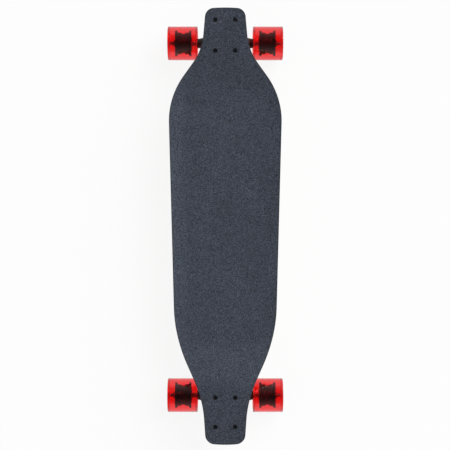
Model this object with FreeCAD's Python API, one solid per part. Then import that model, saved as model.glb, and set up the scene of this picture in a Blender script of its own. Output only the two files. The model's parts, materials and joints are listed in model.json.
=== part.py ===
"""Longboard skateboard: a directional drop platform deck on two trucks with four wheels.

Frame: millimetres, +Y to the nose, +X to the rider's right, +Z up, origin on the ground under
the middle of the deck. Truck pieces are drawn in a frame of their own: origin at the middle of
the bolt pattern on the baseplate's top face, +Y inboard, +Z along the mount plane's normal.
"""
import FreeCAD, Part
import math
import os

from FreeCAD import Placement, Rotation, Vector

# Deck outline, half widths and stations measured from the nose and the tail
deck_length = 914.4
nose_half_width = 40.9
nose_bow = 2.4
nose_tip_radius = 350.0
nose_corner_radius = 19.0
front_neck_half_width = 48.8
front_neck_from_nose = 86.4
front_neck_radius = 110.0
front_shoulder_half_width = 119.7
front_shoulder_from_nose = 183.0
front_shoulder_radius = 161.0
rear_shoulder_half_width = 106.4
rear_shoulder_from_tail = 225.4
rear_shoulder_radius = 303.0
rear_neck_half_width = 47.3
rear_neck_from_tail = 99.6
rear_neck_radius = 242.0
tail_half_width = 41.1
tail_bow = 2.8
tail_tip_radius = 280.0
tail_corner_radius = 21.0

# Deck press: the side profile, the raised rails and the laminate
deck_thickness = 11.0
deck_top_round = 1.0
deck_bottom_round = 3.0
platform_drop = 16.4
nose_bend_radius = 400.0
crest_past_mount = 56.5
crest_radius = 60.0
ramp_angle = 14.0
ramp_foot_radius = 150.0
rail_flat_half_width = 72.0
rail_radius = 150.0
press_margin = 12.0
press_overrun = 22.0
grip_thickness = 0.9
grip_inset = 0.8

# Where a point just inside the deck's rim is probed, to tell its top edges from its bottom ones
rim_probe_in = 0.3
rim_probe_up = 0.6
rim_tolerance = 0.001

# Truck mounts on the deck
mount_tilt = 8.0
nose_to_mount = 56.1
tail_to_mount = 70.5
bolt_spacing_across = 41.3
bolt_spacing_along = 63.5
riser_thickness = 3.0

# Mounting bolts and their lock nuts
bolt_radius = 2.4
bolt_head_radius = 4.7
bolt_head_land = 0.8
bolt_socket_flats = 3.2
bolt_socket_depth = 2.0
bolt_hole_clearance = 0.2
bolt_tip_reach = 2.0
bolt_nut_flats = 9.5
bolt_nut_height = 5.6
nut_collar_height = 1.6
nut_collar_inset = 0.4
nut_collar_taper = 0.6

# Baseplate casting
plate_margin_across = 7.85
plate_margin_along = 8.25
plate_thickness = 6.0
plate_corner_radius = 9.0
boss_inset = 28.8
boss_drop = 20.7
boss_seat_margin = 1.5
boss_draft = 1.5
boss_overrun = 30.0
pivot_house_wall = 3.0
pivot_house_draft = 1.5
gusset_width = 10.0
gusset_rise = 3.5

# Steering geometry in the truck frame
axle_inset = 15.0
axle_drop = 57.0
pivot_inset = -16.0
pivot_lean = 36.4
pivot_cover = 3.0
kingpin_lean = 15.0

# Pivot cup and the hanger's ball nose
pivot_ball_radius = 6.5
pivot_neck_step = 0.5
pivot_gap = 0.1
pivot_cup_wall = 2.2
pivot_cup_floor = 1.5
pivot_cup_rise = 4.5
pivot_cup_proud = 1.0
pivot_cup_flare = 1.4

# Kingpin, bushings and cup washers
kingpin_radius = 4.76
kingpin_hole_clearance = 0.1
kingpin_head_flats = 14.3
kingpin_head_height = 6.0
kingpin_head_cover = 1.0
kingpin_pocket_clearance = 0.5
kingpin_tip_reach = 2.5
kingpin_nut_flats = 14.3
kingpin_nut_height = 9.0
bushing_radius = 12.5
bushing_hole_clearance = 0.34
board_side_bushing_height = 14.0
road_side_bushing_height = 12.0
road_side_bushing_taper = 3.0
washer_thickness = 1.5
washer_lip = 1.2

# Hanger casting
hanger_width = 155.0
hanger_end_inset = 1.2
hanger_collar_length = 3.0
hanger_stub_length = 16.3
hanger_stub_wall = 1.3
hanger_wing_half_depth = 18.6
hanger_wing_half_height = 13.0
hanger_wing_lift = 3.0
hanger_saddle_half_width = 17.0
hanger_saddle_heel = 14.0
ring_wall = 4.2
ring_thickness = 12.0
ring_seat_depth = 1.5
ring_seat_clearance = 0.3
ring_bore_play = 2.44
kingpin_sweep_radius = 20.0
kingpin_sweep_margin = 8.0

# Axle and what is threaded on it
axle_radius = 3.97
axle_fit = 0.03
axle_chamfer = 1.0
axle_tip_reach = 6.9
axle_nut_flats = 12.7
axle_nut_height = 8.0
axle_washer_inset = 0.2
axle_washer_thickness = 0.8

# Ball bearings, two in each wheel, with a sleeve between them
bearing_radius = 11.0
bearing_shield_thickness = 0.5
bearing_shield_set_in = 0.1
bearing_shield_gap = 0.3
ball_count = 7
ball_radius = 1.98
ball_clearance = 0.05
ball_groove_depth = 0.33
ball_pocket_clearance = 0.15
cage_wall = 1.2
cage_rail = 0.4
cage_side_gap = 0.37
spacer_length = 10.0
spacer_inset = 0.6

# Wheel: poured tyre round a moulded spool core, whose walls are measured from the bearings
wheel_radius = 36.0
tyre_outboard = 33.0
tyre_inboard = 31.0
tyre_edge_round = 1.2
tyre_lip_width = 5.0
tyre_lip_depth = 4.6
tyre_lip_round = 0.8
tyre_mouth_wall = 1.0
tyre_mouth_round = 1.0
core_half_length = 17.2
core_flange_wall = 7.3
core_flange_width = 4.2
core_step_wall = 4.4
core_step_half_length = 11.2
core_waist_wall = 2.8
core_waist_half_length = 3.1
core_waist_slope = 2.1
core_mouth_flare = 3.0
core_shoulder_step = 1.6

# Directions in the truck frame
LATERAL = Vector(1, 0, 0)
NORMAL = Vector(0, 0, 1)


def leaning_down(angle):
    """The direction that points down from the baseplate and leans inboard by an angle."""
    return Vector(0, math.sin(math.radians(angle)), -math.cos(math.radians(angle)))


kingpin_down = leaning_down(kingpin_lean)
cup_out = leaning_down(pivot_lean)

# Sizes that follow from their neighbours
plate_width = bolt_spacing_across + 2 * plate_margin_across
plate_length = bolt_spacing_along + 2 * plate_margin_along
pivot_seat_radius = pivot_ball_radius + pivot_gap
pivot_cup_radius = pivot_seat_radius + pivot_cup_wall
pivot_cup_depth = pivot_seat_radius + pivot_cup_floor
pivot_drop = pivot_cover - pivot_cup_depth * cup_out.z + pivot_cup_radius * cup_out.y
kingpin_head_corner = kingpin_head_flats / math.sqrt(3)
kingpin_head_drop = kingpin_head_cover - kingpin_head_height * kingpin_down.z
kingpin_head_drop += kingpin_head_corner * kingpin_down.y
kingpin_bore = kingpin_radius + kingpin_hole_clearance
bushing_hole_radius = kingpin_radius + bushing_hole_clearance
bushing_seat_radius = bushing_radius + ring_seat_clearance
axle_bore = axle_radius + axle_fit
ball_pitch_radius = (axle_bore + bearing_radius) / 2
bearing_inner_ring_radius = ball_pitch_radius - ball_radius + ball_groove_depth
bearing_outer_ring_bore = ball_pitch_radius + ball_radius - ball_groove_depth
cage_half_length = ball_radius + ball_pocket_clearance + cage_rail
shield_depth = bearing_shield_set_in + bearing_shield_thickness
bearing_width = 2 * (cage_half_length + cage_side_gap + shield_depth)
hanger_end_radius = bearing_radius - hanger_end_inset
hanger_stub_radius = axle_bore + hanger_stub_wall
core_flange_radius = bearing_radius + core_flange_wall

# Stations along the kingpin, from the ring's middle, positive towards the road
ring_web_half = ring_thickness / 2 - ring_seat_depth
seat_station = -(ring_web_half + board_side_bushing_height + washer_thickness)
head_station = seat_station + (boss_drop - kingpin_head_drop) / kingpin_down.z
road_washer_station = ring_web_half + road_side_bushing_height
kingpin_nut_station = road_washer_station + washer_thickness
kingpin_tip_station = kingpin_nut_station + kingpin_nut_height + kingpin_tip_reach

# Points in the truck frame
axle_point = Vector(0, axle_inset, -axle_drop)
pivot_point = Vector(0, pivot_inset, -pivot_drop)
ring_point = Vector(0, boss_inset, -boss_drop) - kingpin_down * seat_station

# Stations along the axle, from the board's middle
hanger_half = hanger_width / 2
hanger_collar_station = hanger_half - hanger_stub_length - hanger_collar_length
bearing_stack_half = spacer_length / 2 + bearing_width
wheel_centre = hanger_half + axle_washer_thickness + bearing_stack_half
axle_nut_station = wheel_centre + bearing_stack_half + axle_washer_thickness
axle_half = axle_nut_station + axle_nut_height + axle_tip_reach

# Mount planes: both rise towards the nose, and the wheels set their height
tilt = Rotation(LATERAL, mount_tilt)
half_turn = Rotation(NORMAL, 180)
plane_normal = tilt.multVec(NORMAL)
plane_slope = math.tan(math.radians(mount_tilt))
under_deck = deck_thickness + riser_thickness


def mount_top(y, turn):
    """The deck's top at the middle of a bolt pattern, high enough to stand its wheels on the ground."""
    axle_from_top = tilt.multiply(turn).multVec(axle_point - NORMAL * under_deck)
    return Vector(0, y, wheel_radius - axle_from_top.z)


def crown_lift(bow, half_width, radius):
    """How far the corner over a blunt end's arc stands outside the arc."""
    return radius * (math.hypot(1, bow / half_width) - 1)


nose_y = deck_length / 2
tail_y = -deck_length / 2
nose_crown = crown_lift(nose_bow, nose_half_width, nose_tip_radius)
tail_crown = crown_lift(tail_bow, tail_half_width, tail_tip_radius)
front_mount = mount_top(nose_y - nose_to_mount, half_turn)
rear_mount = mount_top(tail_y + tail_to_mount, Rotation())
platform_height = front_mount.z - platform_drop
front_truck = Placement(front_mount - plane_normal * under_deck, tilt.multiply(half_turn))
rear_truck = Placement(rear_mount - plane_normal * under_deck, tilt)
trucks = {"front": front_truck, "rear": rear_truck}
mounts = {"front": front_mount, "rear": rear_mount}


def placed(shape, place):
    """A copy of a shape, carried by a placement."""
    copy = shape.copy()
    copy.Placement = place.multiply(copy.Placement)
    return copy


def filleted_path(points, radii, closed=False):
    """Straight runs through the points, joined by tangent arcs of the given radii."""
    count = len(points)
    starts = []
    ends = []
    arcs = []
    for i, corner in enumerate(points):
        if not closed and i in (0, count - 1) or radii[i] == 0:
            starts.append(corner)
            ends.append(corner)
            arcs.append(None)
            continue
        back = (points[i - 1] - corner).normalize()
        ahead = (points[(i + 1) % count] - corner).normalize()
        half = back.getAngle(ahead) / 2
        reach = radii[i] / math.tan(half)
        middle = (back + ahead).normalize()
        crown = corner + middle * (radii[i] / math.sin(half) - radii[i])
        starts.append(corner + back * reach)
        ends.append(corner + ahead * reach)
        arcs.append(crown)
    edges = []
    for i in range(count):
        if arcs[i]:
            edges.append(Part.Arc(starts[i], arcs[i], ends[i]).toShape())
        following = (i + 1) % count
        if closed or following:
            if ends[i].distanceToPoint(starts[following]) > 1e-6:
                edges.append(Part.LineSegment(ends[i], starts[following]).toShape())
    return Part.Wire(edges)


def polygon_face(points):
    """A flat face with straight sides."""
    return Part.Face(Part.makePolygon(list(points) + [points[0]]))


def rod(start, direction, length, radius, end_radius=None):
    """A cylinder, or a cone where the far radius differs."""
    if end_radius is None or end_radius == radius:
        return Part.makeCylinder(radius, length, start, direction)
    return Part.makeCone(radius, end_radius, length, start, direction)


def tube(start, direction, length, radius, bore):
    """A straight tube."""
    return rod(start, direction, length, radius).cut(rod(start, direction, length, bore))


def hexagon(start, direction, height, flats):
    """A hexagonal prism, sized across its flats."""
    corner = flats / math.sqrt(3)
    angles = [math.radians(60 * i) for i in range(6)]
    face = polygon_face([Vector(corner * math.cos(a), corner * math.sin(a), 0) for a in angles])
    return placed(face.extrude(NORMAL * height), Placement(start, Rotation(NORMAL, direction)))


def lock_nut(start, direction, height, flats, bore):
    """A hexagonal nut with a round collar for its nylon ring on the far side."""
    nut = hexagon(start, direction, height - nut_collar_height, flats)
    collar_start = start + direction * (height - nut_collar_height)
    collar_radius = flats / 2 - nut_collar_inset
    tip_radius = collar_radius - nut_collar_taper
    collar = rod(collar_start, direction, nut_collar_height, collar_radius, tip_radius)
    return nut.fuse(collar).cut(rod(start, direction, height, bore))


def turned(profile, origin, axis, rounds=None):
    """A solid of revolution from pairs of a station along the axis and a radius, with rounded corners."""
    points = [Vector(radius, 0, station) for station, radius in profile]
    face = Part.Face(filleted_path(points, rounds or [0] * len(points), closed=True))
    return placed(face.revolve(Vector(), NORMAL, 360), Placement(origin, Rotation(NORMAL, axis)))


def outline_corners():
    """The right half of the deck's plan, nose to tail, as corners and the radii that round them."""
    return [
        (Vector(nose_half_width, nose_y + nose_crown - nose_bow, 0), nose_corner_radius),
        (Vector(front_neck_half_width, nose_y - front_neck_from_nose, 0), front_neck_radius),
        (Vector(front_shoulder_half_width, nose_y - front_shoulder_from_nose, 0), front_shoulder_radius),
        (Vector(rear_shoulder_half_width, tail_y + rear_shoulder_from_tail, 0), rear_shoulder_radius),
        (Vector(rear_neck_half_width, tail_y + rear_neck_from_tail, 0), rear_neck_radius),
        (Vector(tail_half_width, tail_y - tail_crown + tail_bow, 0), tail_corner_radius),
    ]


def deck_outline():
    """The closed plan of the deck, with blunt, slightly bowed ends."""
    right = outline_corners()
    left = [(Vector(-p.x, p.y, 0), r) for p, r in reversed(right)]
    nose_tip = (Vector(0, nose_y + nose_crown, 0), nose_tip_radius)
    tail_tip = (Vector(0, tail_y - tail_crown, 0), tail_tip_radius)
    corners = [nose_tip] + right + [tail_tip] + left
    return filleted_path([p for p, r in corners], [r for p, r in corners], closed=True)


def press_path():
    """The side profile of the deck's top along the centre line, run on past both ends."""

    def on_mount_plane(mount, y):
        return Vector(0, y, mount.z + (y - mount.y) * plane_slope)

    crest = on_mount_plane(rear_mount, rear_mount.y + crest_past_mount)
    foot_y = crest.y + (crest.z - platform_height) / math.tan(math.radians(ramp_angle))
    bend_y = front_mount.y - platform_drop / plane_slope
    points = [
        on_mount_plane(rear_mount, tail_y - press_overrun),
        crest,
        Vector(0, foot_y, platform_height),
        Vector(0, bend_y, platform_height),
        on_mount_plane(front_mount, nose_y + press_overrun),
    ]
    return filleted_path(points, [0, crest_radius, ramp_foot_radius, nose_bend_radius, 0])


def pressed_sheet(bottom, top):
    """A sheet of the press between two heights over the deck's top face, wider than the deck."""
    reach = max(front_shoulder_half_width, rear_shoulder_half_width) + press_margin - rail_flat_half_width
    rise = math.asin(reach / rail_radius)

    def rail(side, height, share):
        radius = rail_radius - height
        across = rail_flat_half_width + radius * math.sin(rise * share)
        return Vector(side * across, 0, rail_radius - radius * math.cos(rise * share))

    def skin(height):
        return [
            Part.Arc(rail(-1, height, 1), rail(-1, height, 0.5), rail(-1, height, 0)).toShape(),
            Part.LineSegment(rail(-1, height, 0), rail(1, height, 0)).toShape(),
            Part.Arc(rail(1, height, 0), rail(1, height, 0.5), rail(1, height, 1)).toShape(),
        ]

    sides = [Part.LineSegment(rail(s, bottom, 1), rail(s, top, 1)).toShape() for s in (-1, 1)]
    section = Part.Wire(Part.__sortEdges__(skin(bottom) + skin(top) + sides))
    path = press_path()
    section.Placement = Placement(path.Vertexes[0].Point, tilt)
    return path.makePipeShell([section], True, False)


def bolt_places(mount):
    """The four bolt axes of a mount, as points on the deck's top face."""
    along = tilt.multVec(Vector(0, 1, 0)) * (bolt_spacing_along / 2)
    across = LATERAL * (bolt_spacing_across / 2)
    return [mount + along * j + across * i for i in (-1, 1) for j in (-1, 1)]


def rim_edges(solid, outline, at_bottom):
    """The edges where the deck's top face, or its bottom face, meets its side wall."""
    straight_end = nose_y - nose_half_width
    found = []
    for edge in solid.Edges:
        middle = edge.valueAt((edge.FirstParameter + edge.LastParameter) / 2)
        plan = Vector(middle.x, middle.y, 0)
        box = edge.BoundBox
        upright = box.XLength + box.YLength < rim_tolerance
        if upright or Part.Vertex(plan).distToShape(outline)[0] > rim_tolerance:
            continue
        inner = Vector(0, max(min(middle.y, straight_end), -straight_end), 0)
        step = (inner - plan).normalize() * rim_probe_in + NORMAL * rim_probe_up
        if solid.isInside(middle + step, rim_tolerance, False) == at_bottom:
            found.append(edge)
    return found


def through_plan(outline, sheet):
    """What a plan outline cuts out of a pressed sheet."""
    return sheet.common(Part.Face(outline).extrude(NORMAL * deck_length)).Solids[0]


def deck():
    """The maple laminate: a pressed sheet cut to its plan, its rim rounded and eight holes sunk."""
    outline = deck_outline()
    board = through_plan(outline, pressed_sheet(-deck_thickness, 0))
    board = board.makeFillet(deck_top_round, rim_edges(board, outline, False))
    board = board.makeFillet(deck_bottom_round, rim_edges(board, outline, True))
    above_grip = 2 * grip_thickness
    for mount in mounts.values():
        for place in bolt_places(mount):
            board = board.cut(bolt_shape(place, bolt_hole_clearance, above_grip))
    return board


def grip_tape():
    """The gritted sheet over the top face, set in from the rim, with a hole for each bolt head."""
    sheet = through_plan(deck_outline().makeOffset2D(-grip_inset), pressed_sheet(0, grip_thickness))
    hole_radius = bolt_head_radius + bolt_hole_clearance
    for mount in mounts.values():
        for place in bolt_places(mount):
            sheet = sheet.cut(rod(place, plane_normal, 2 * grip_thickness, hole_radius))
    return sheet


def bolt_shape(place, clearance, head_top):
    """A flat headed bolt, its head as high as asked over the deck; with a clearance, the hole for it."""
    cone_start = grip_thickness - bolt_head_land
    head_radius = bolt_head_radius + clearance
    shank_radius = bolt_radius + clearance
    neck = place + plane_normal * cone_start
    head = rod(neck, plane_normal, head_top - cone_start, head_radius)
    cone = rod(neck, plane_normal * -1, bolt_head_radius - bolt_radius, head_radius, shank_radius)
    length = under_deck + plate_thickness + bolt_nut_height + bolt_tip_reach
    shank = rod(place, plane_normal * -1, length, shank_radius)
    return head.fuse([cone, shank])


def mounting_bolts(mount):
    """Four bolts with a hexagon socket in each head."""
    bolts = []
    for place in bolt_places(mount):
        head_top = place + plane_normal * grip_thickness
        socket = hexagon(head_top, plane_normal * -1, bolt_socket_depth, bolt_socket_flats)
        bolts.append(bolt_shape(place, 0, grip_thickness).cut(socket))
    return Part.makeCompound(bolts)


def mounting_nuts(mount):
    """Four lock nuts under the baseplate."""
    drop = plane_normal * -(under_deck + plate_thickness)
    nuts = [
        lock_nut(place + drop, plane_normal * -1, bolt_nut_height, bolt_nut_flats, bolt_radius)
        for place in bolt_places(mount)
    ]
    return Part.makeCompound(nuts)


def plate(top, thickness):
    """The rounded rectangle that the riser and the baseplate share, with its four bolt holes."""
    x = plate_width / 2
    y = plate_length / 2
    corners = [Vector(-x, -y, top), Vector(x, -y, top), Vector(x, y, top), Vector(-x, y, top)]
    face = Part.Face(filleted_path(corners, [plate_corner_radius] * 4, closed=True))
    solid = face.extrude(NORMAL * -thickness)
    for i in (-1, 1):
        for j in (-1, 1):
            place = Vector(i * bolt_spacing_across / 2, j * bolt_spacing_along / 2, top)
            solid = solid.cut(rod(place, NORMAL * -1, thickness, bolt_radius + bolt_hole_clearance))
    return solid


def on_kingpin(station):
    """A point on the kingpin's axis."""
    return ring_point + kingpin_down * station


def below_plate(solid):
    """What is left of a boss under the baseplate's top face."""
    span = plate_length * 2
    return solid.common(Part.makeBox(span, span, span, Vector(-span / 2, -span / 2, -span)))


def length_through_plate(point, direction):
    """How far a slanted boss runs up from a point to come out well above the baseplate's top face."""
    return point.z / direction.z + boss_overrun


def baseplate():
    """The cast base: plate, kingpin boss, the house of the pivot cup and a gusset between them."""
    seat = on_kingpin(seat_station)
    boss_length = length_through_plate(seat, kingpin_down)
    boss_radius = bushing_radius + boss_seat_margin
    boss = rod(seat, kingpin_down * -1, boss_length, boss_radius, boss_radius + boss_draft)
    mouth = pivot_point + cup_out * (pivot_cup_rise - pivot_cup_proud)
    house_length = length_through_plate(mouth, cup_out)
    house_radius = pivot_cup_radius + pivot_house_wall
    house = rod(mouth, cup_out * -1, house_length, house_radius, house_radius + pivot_house_draft)
    gusset_top = -plate_thickness / 2
    gusset = polygon_face([
        Vector(-gusset_width / 2, pivot_point.y, gusset_top),
        Vector(-gusset_width / 2, seat.y, gusset_top),
        Vector(-gusset_width / 2, seat.y, seat.z + gusset_rise),
    ]).extrude(LATERAL * gusset_width)
    solid = plate(0, plate_thickness).fuse([below_plate(boss), below_plate(house), gusset])
    pocket_radius = kingpin_head_corner + kingpin_pocket_clearance
    solid = solid.cut([
        rod(seat, kingpin_down * -1, boss_length, kingpin_bore),
        rod(on_kingpin(head_station), kingpin_down * -1, boss_length, pocket_radius),
        rod(pivot_point - cup_out * pivot_cup_depth, cup_out, house_length, pivot_cup_radius),
    ])
    return solid.removeSplitter()


def pivot_cup():
    """The urethane cup that the hanger's ball nose turns in."""
    length = pivot_cup_depth + pivot_cup_rise
    cup = rod(pivot_point - cup_out * pivot_cup_depth, cup_out, length, pivot_cup_radius)
    mouth_radius = pivot_seat_radius + pivot_cup_flare
    mouth = rod(pivot_point, cup_out, pivot_cup_rise, pivot_seat_radius, mouth_radius)
    return cup.cut([Part.makeSphere(pivot_seat_radius, pivot_point), mouth])


def kingpin():
    """The bolt that clamps the bushings, its head let into the baseplate."""
    shank_length = kingpin_tip_station - head_station
    head = hexagon(on_kingpin(head_station), kingpin_down * -1, kingpin_head_height, kingpin_head_flats)
    return head.fuse(rod(on_kingpin(head_station), kingpin_down, shank_length, kingpin_radius))


def kingpin_nut():
    """The lock nut that sets how hard the bushings are clamped."""
    start = on_kingpin(kingpin_nut_station)
    return lock_nut(start, kingpin_down, kingpin_nut_height, kingpin_nut_flats, kingpin_bore)


def board_side_bushing():
    """The barrel bushing between the baseplate and the hanger's ring."""
    start = on_kingpin(-ring_web_half - board_side_bushing_height)
    return tube(start, kingpin_down, board_side_bushing_height, bushing_radius, bushing_hole_radius)


def road_side_bushing_radius(height):
    """The cone bushing's radius at a height over the lower washer's face."""
    return bushing_radius - road_side_bushing_taper * (1 - height / road_side_bushing_height)


def road_side_bushing():
    """The cone bushing between the hanger's ring and the lower washer."""
    start = on_kingpin(ring_web_half)
    height = road_side_bushing_height
    cone = rod(start, kingpin_down, height, bushing_radius, road_side_bushing_radius(0))
    return cone.cut(rod(start, kingpin_down, height, bushing_hole_radius))


def bushing_washers():
    """The two cup washers, each with its lip round the end of a bushing."""

    def cup(station, towards_bushing, held_radius):
        inner = held_radius + ring_seat_clearance
        profile = [
            (0, kingpin_bore),
            (0, inner + washer_thickness),
            (washer_thickness + washer_lip, inner + washer_thickness),
            (washer_thickness + washer_lip, inner),
            (washer_thickness, inner),
            (washer_thickness, kingpin_bore),
        ]
        return turned(profile, on_kingpin(station), towards_bushing)

    upper = cup(seat_station, kingpin_down, bushing_radius)
    lower = cup(kingpin_nut_station, kingpin_down * -1, road_side_bushing_radius(washer_lip))
    return Part.makeCompound([upper, lower])


def wing(side):
    """One arm of the hanger: a thin stub into the wheel, and a round collar that swells into the middle."""
    to_lateral = Rotation(Vector(1, 1, 1), 120)
    lift = NORMAL * hanger_wing_lift

    def section(curve, station, centre):
        where = Placement(centre + LATERAL * (station * side), to_lateral)
        return placed(Part.Wire(curve.toShape()), where)

    collar_curve = Part.Circle(Vector(), NORMAL, hanger_end_radius)
    root_curve = Part.Ellipse(Vector(), hanger_wing_half_depth, hanger_wing_half_height)
    collar = section(collar_curve, hanger_collar_station, axle_point)
    root = section(root_curve, hanger_saddle_half_width, axle_point + lift)
    middle = section(root_curve, 0, axle_point + lift)
    taper = Part.makeLoft([root, collar], True, True)
    body = Part.makeLoft([middle, root], True, True)
    end_start = on_axle(side, hanger_collar_station)
    end = rod(end_start, LATERAL * side, hanger_collar_length, hanger_end_radius)
    stub = rod(end_start, LATERAL * side, hanger_collar_length + hanger_stub_length, hanger_stub_radius)
    return body.fuse([taper, end, stub])


def saddle():
    """The block that joins the wings to the ring."""
    half = ring_thickness / 2
    ring_radius = bushing_seat_radius + ring_wall
    towards_axle = kingpin_down.cross(LATERAL)
    corners = [
        on_kingpin(-half),
        on_kingpin(-half) + towards_axle * ring_radius,
        axle_point + Vector(0, -hanger_saddle_heel, hanger_wing_lift),
        axle_point - NORMAL * (hanger_wing_half_height - hanger_wing_lift),
        on_kingpin(half),
    ]
    ring = rod(on_kingpin(-half), kingpin_down, ring_thickness, ring_radius)
    side = polygon_face([corner - LATERAL * hanger_saddle_half_width for corner in corners])
    return side.extrude(LATERAL * (2 * hanger_saddle_half_width)).fuse(ring)


def pivot_nose():
    """The tapered neck and the ball on its end, which turns in the pivot cup."""
    to_axle = axle_point - pivot_point
    reach = to_axle.Length
    nose_out = to_axle.normalize()
    neck_start = pivot_ball_radius / 2
    neck_radius = pivot_ball_radius - pivot_neck_step
    start = pivot_point + nose_out * neck_start
    neck = rod(start, nose_out, reach - neck_start, neck_radius, hanger_wing_half_height)
    return neck.fuse(Part.makeSphere(pivot_ball_radius, pivot_point))


def hanger():
    """The cast hanger: two wings, the ring that the bushings clamp and the nose that turns in the cup."""
    half = ring_thickness / 2
    body = wing(1).fuse([wing(-1), saddle(), pivot_nose()])
    rim_radius = bushing_seat_radius + ring_seat_clearance
    lower_length = kingpin_tip_station - half + kingpin_sweep_margin
    upper_length = kingpin_sweep_margin - seat_station - half
    body = body.cut([
        rod(on_kingpin(half), kingpin_down, lower_length, rim_radius, kingpin_sweep_radius),
        rod(on_kingpin(-half), kingpin_down * -1, upper_length, rim_radius, kingpin_sweep_radius),
        rod(on_kingpin(ring_web_half), kingpin_down, ring_seat_depth, bushing_seat_radius),
        rod(on_kingpin(-ring_web_half), kingpin_down * -1, ring_seat_depth, bushing_seat_radius),
        rod(on_kingpin(-half), kingpin_down, ring_thickness, kingpin_radius + ring_bore_play),
        rod(axle_point - LATERAL * hanger_half, LATERAL, hanger_width, axle_bore),
    ])
    return body.removeSplitter()


def axle():
    """The steel rod cast through the hanger, chamfered at both ends."""
    half = [
        (axle_half - axle_chamfer, axle_radius),
        (axle_half, axle_radius - axle_chamfer),
        (axle_half, 0),
    ]
    profile = [(-station, radius) for station, radius in reversed(half)] + half
    return turned(profile, axle_point, LATERAL)


def on_axle(side, station):
    """A point on the axle, at a distance from the board's middle on one side."""
    return axle_point + LATERAL * (side * station)


def axle_sleeves(stations, length, radius):
    """Tubes of one length that are threaded on the axle, on both sides of the board."""
    return Part.makeCompound([
        tube(on_axle(side, station), LATERAL * side, length, radius, axle_bore)
        for side in (-1, 1)
        for station in stations
    ])


def axle_washers():
    """Thin rings that keep the hanger and the nut off the bearings' outer rings."""
    stations = (hanger_half, wheel_centre + bearing_stack_half)
    radius = bearing_inner_ring_radius - axle_washer_inset
    return axle_sleeves(stations, axle_washer_thickness, radius)


def bearing_spacers():
    """The sleeves between the two bearings of each wheel."""
    start = wheel_centre - spacer_length / 2
    return axle_sleeves([start], spacer_length, bearing_inner_ring_radius - spacer_inset)


def bearing_starts():
    """Where the two bearings of a wheel begin, along the axle."""
    return (wheel_centre - bearing_stack_half, wheel_centre + spacer_length / 2)


def ball_track(middle, axis):
    """The ring that a bearing's balls run in, a little larger than the balls."""
    return Part.makeTorus(ball_pitch_radius, ball_radius + ball_clearance, middle, axis)


def bearing_inner_rings():
    """The grooved inner rings, which stay still with the axle."""
    rings = []
    for side in (-1, 1):
        for start in bearing_starts():
            direction = LATERAL * side
            where = on_axle(side, start)
            ring = tube(where, direction, bearing_width, bearing_inner_ring_radius, axle_bore)
            middle = on_axle(side, start + bearing_width / 2)
            rings.append(ring.cut(ball_track(middle, direction)))
    return Part.makeCompound(rings)


def axle_nuts():
    """The lock nuts that hold the wheels on."""
    nuts = []
    for side in (-1, 1):
        start = on_axle(side, axle_nut_station)
        nuts.append(lock_nut(start, LATERAL * side, axle_nut_height, axle_nut_flats, axle_bore))
    return Part.makeCompound(nuts)


def core_outside():
    """The spool's outer profile, outboard end first, which the tyre is poured round."""
    step_radius = bearing_radius + core_step_wall
    half = [
        (core_half_length, core_flange_radius),
        (core_half_length - core_flange_width, core_flange_radius),
        (core_step_half_length, step_radius),
        (core_waist_half_length + core_waist_slope, step_radius),
        (core_waist_half_length, bearing_radius + core_waist_wall),
    ]
    return half + [(-station, radius) for station, radius in reversed(half)]


def wheel_core(side):
    """The moulded spool: two flanges, a waist, and a seat for a bearing at each end."""
    half = [
        (spacer_length / 2, bearing_radius - core_shoulder_step),
        (spacer_length / 2, bearing_radius),
        (bearing_stack_half, bearing_radius),
        (core_half_length, bearing_radius + core_mouth_flare),
    ]
    inside = [(-station, radius) for station, radius in reversed(half)] + half
    return turned(core_outside() + inside, on_axle(side, wheel_centre), LATERAL * side)


def tyre(side):
    """The poured tyre: flat tread, raised lips and a coned mouth at each end of the core."""
    lip_radius = wheel_radius - tyre_lip_width
    mouth_radius = core_flange_radius + tyre_mouth_wall

    def face(end, lip_foot):
        return [(lip_foot, mouth_radius), (lip_foot, lip_radius), (end, lip_radius), (end, wheel_radius)]

    outboard = face(tyre_outboard, tyre_outboard - tyre_lip_depth)
    inboard = face(-tyre_inboard, tyre_lip_depth - tyre_inboard)
    bond = core_outside()
    profile = outboard + inboard[::-1] + bond[::-1]
    rounds = [tyre_mouth_round, tyre_lip_round, tyre_lip_round, tyre_edge_round]
    rounds = rounds + rounds[::-1] + [0] * len(bond)
    return turned(profile, on_axle(side, wheel_centre), LATERAL * side, rounds)


def bearing_outer_rings(side):
    """The grooved outer rings, which turn with the wheel."""
    rings = []
    for start in bearing_starts():
        direction = LATERAL * side
        ring = tube(on_axle(side, start), direction, bearing_width, bearing_radius, bearing_outer_ring_bore)
        middle = on_axle(side, start + bearing_width / 2)
        rings.append(ring.cut(ball_track(middle, direction)))
    return Part.makeCompound(rings)


def bearing_shields(side):
    """The thin covers on both faces of each bearing, held in the outer ring."""
    bore = bearing_inner_ring_radius + bearing_shield_gap
    shields = []
    for start in bearing_starts():
        far = start + bearing_width - shield_depth
        for station in (start + bearing_shield_set_in, far):
            where = on_axle(side, station)
            shields.append(
                tube(where, LATERAL * side, bearing_shield_thickness, bearing_outer_ring_bore, bore)
            )
    return Part.makeCompound(shields)


def ball_places(side):
    """The centre of each ball, bearing by bearing."""
    places = []
    for start in bearing_starts():
        middle = on_axle(side, start + bearing_width / 2)
        for i in range(ball_count):
            turn = Rotation(LATERAL, 360 * i / ball_count)
            places.append(middle + turn.multVec(NORMAL * ball_pitch_radius))
    return places


def bearing_balls(side):
    """The balls of both bearings of a wheel."""
    return Part.makeCompound([Part.makeSphere(ball_radius, place) for place in ball_places(side)])


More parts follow.
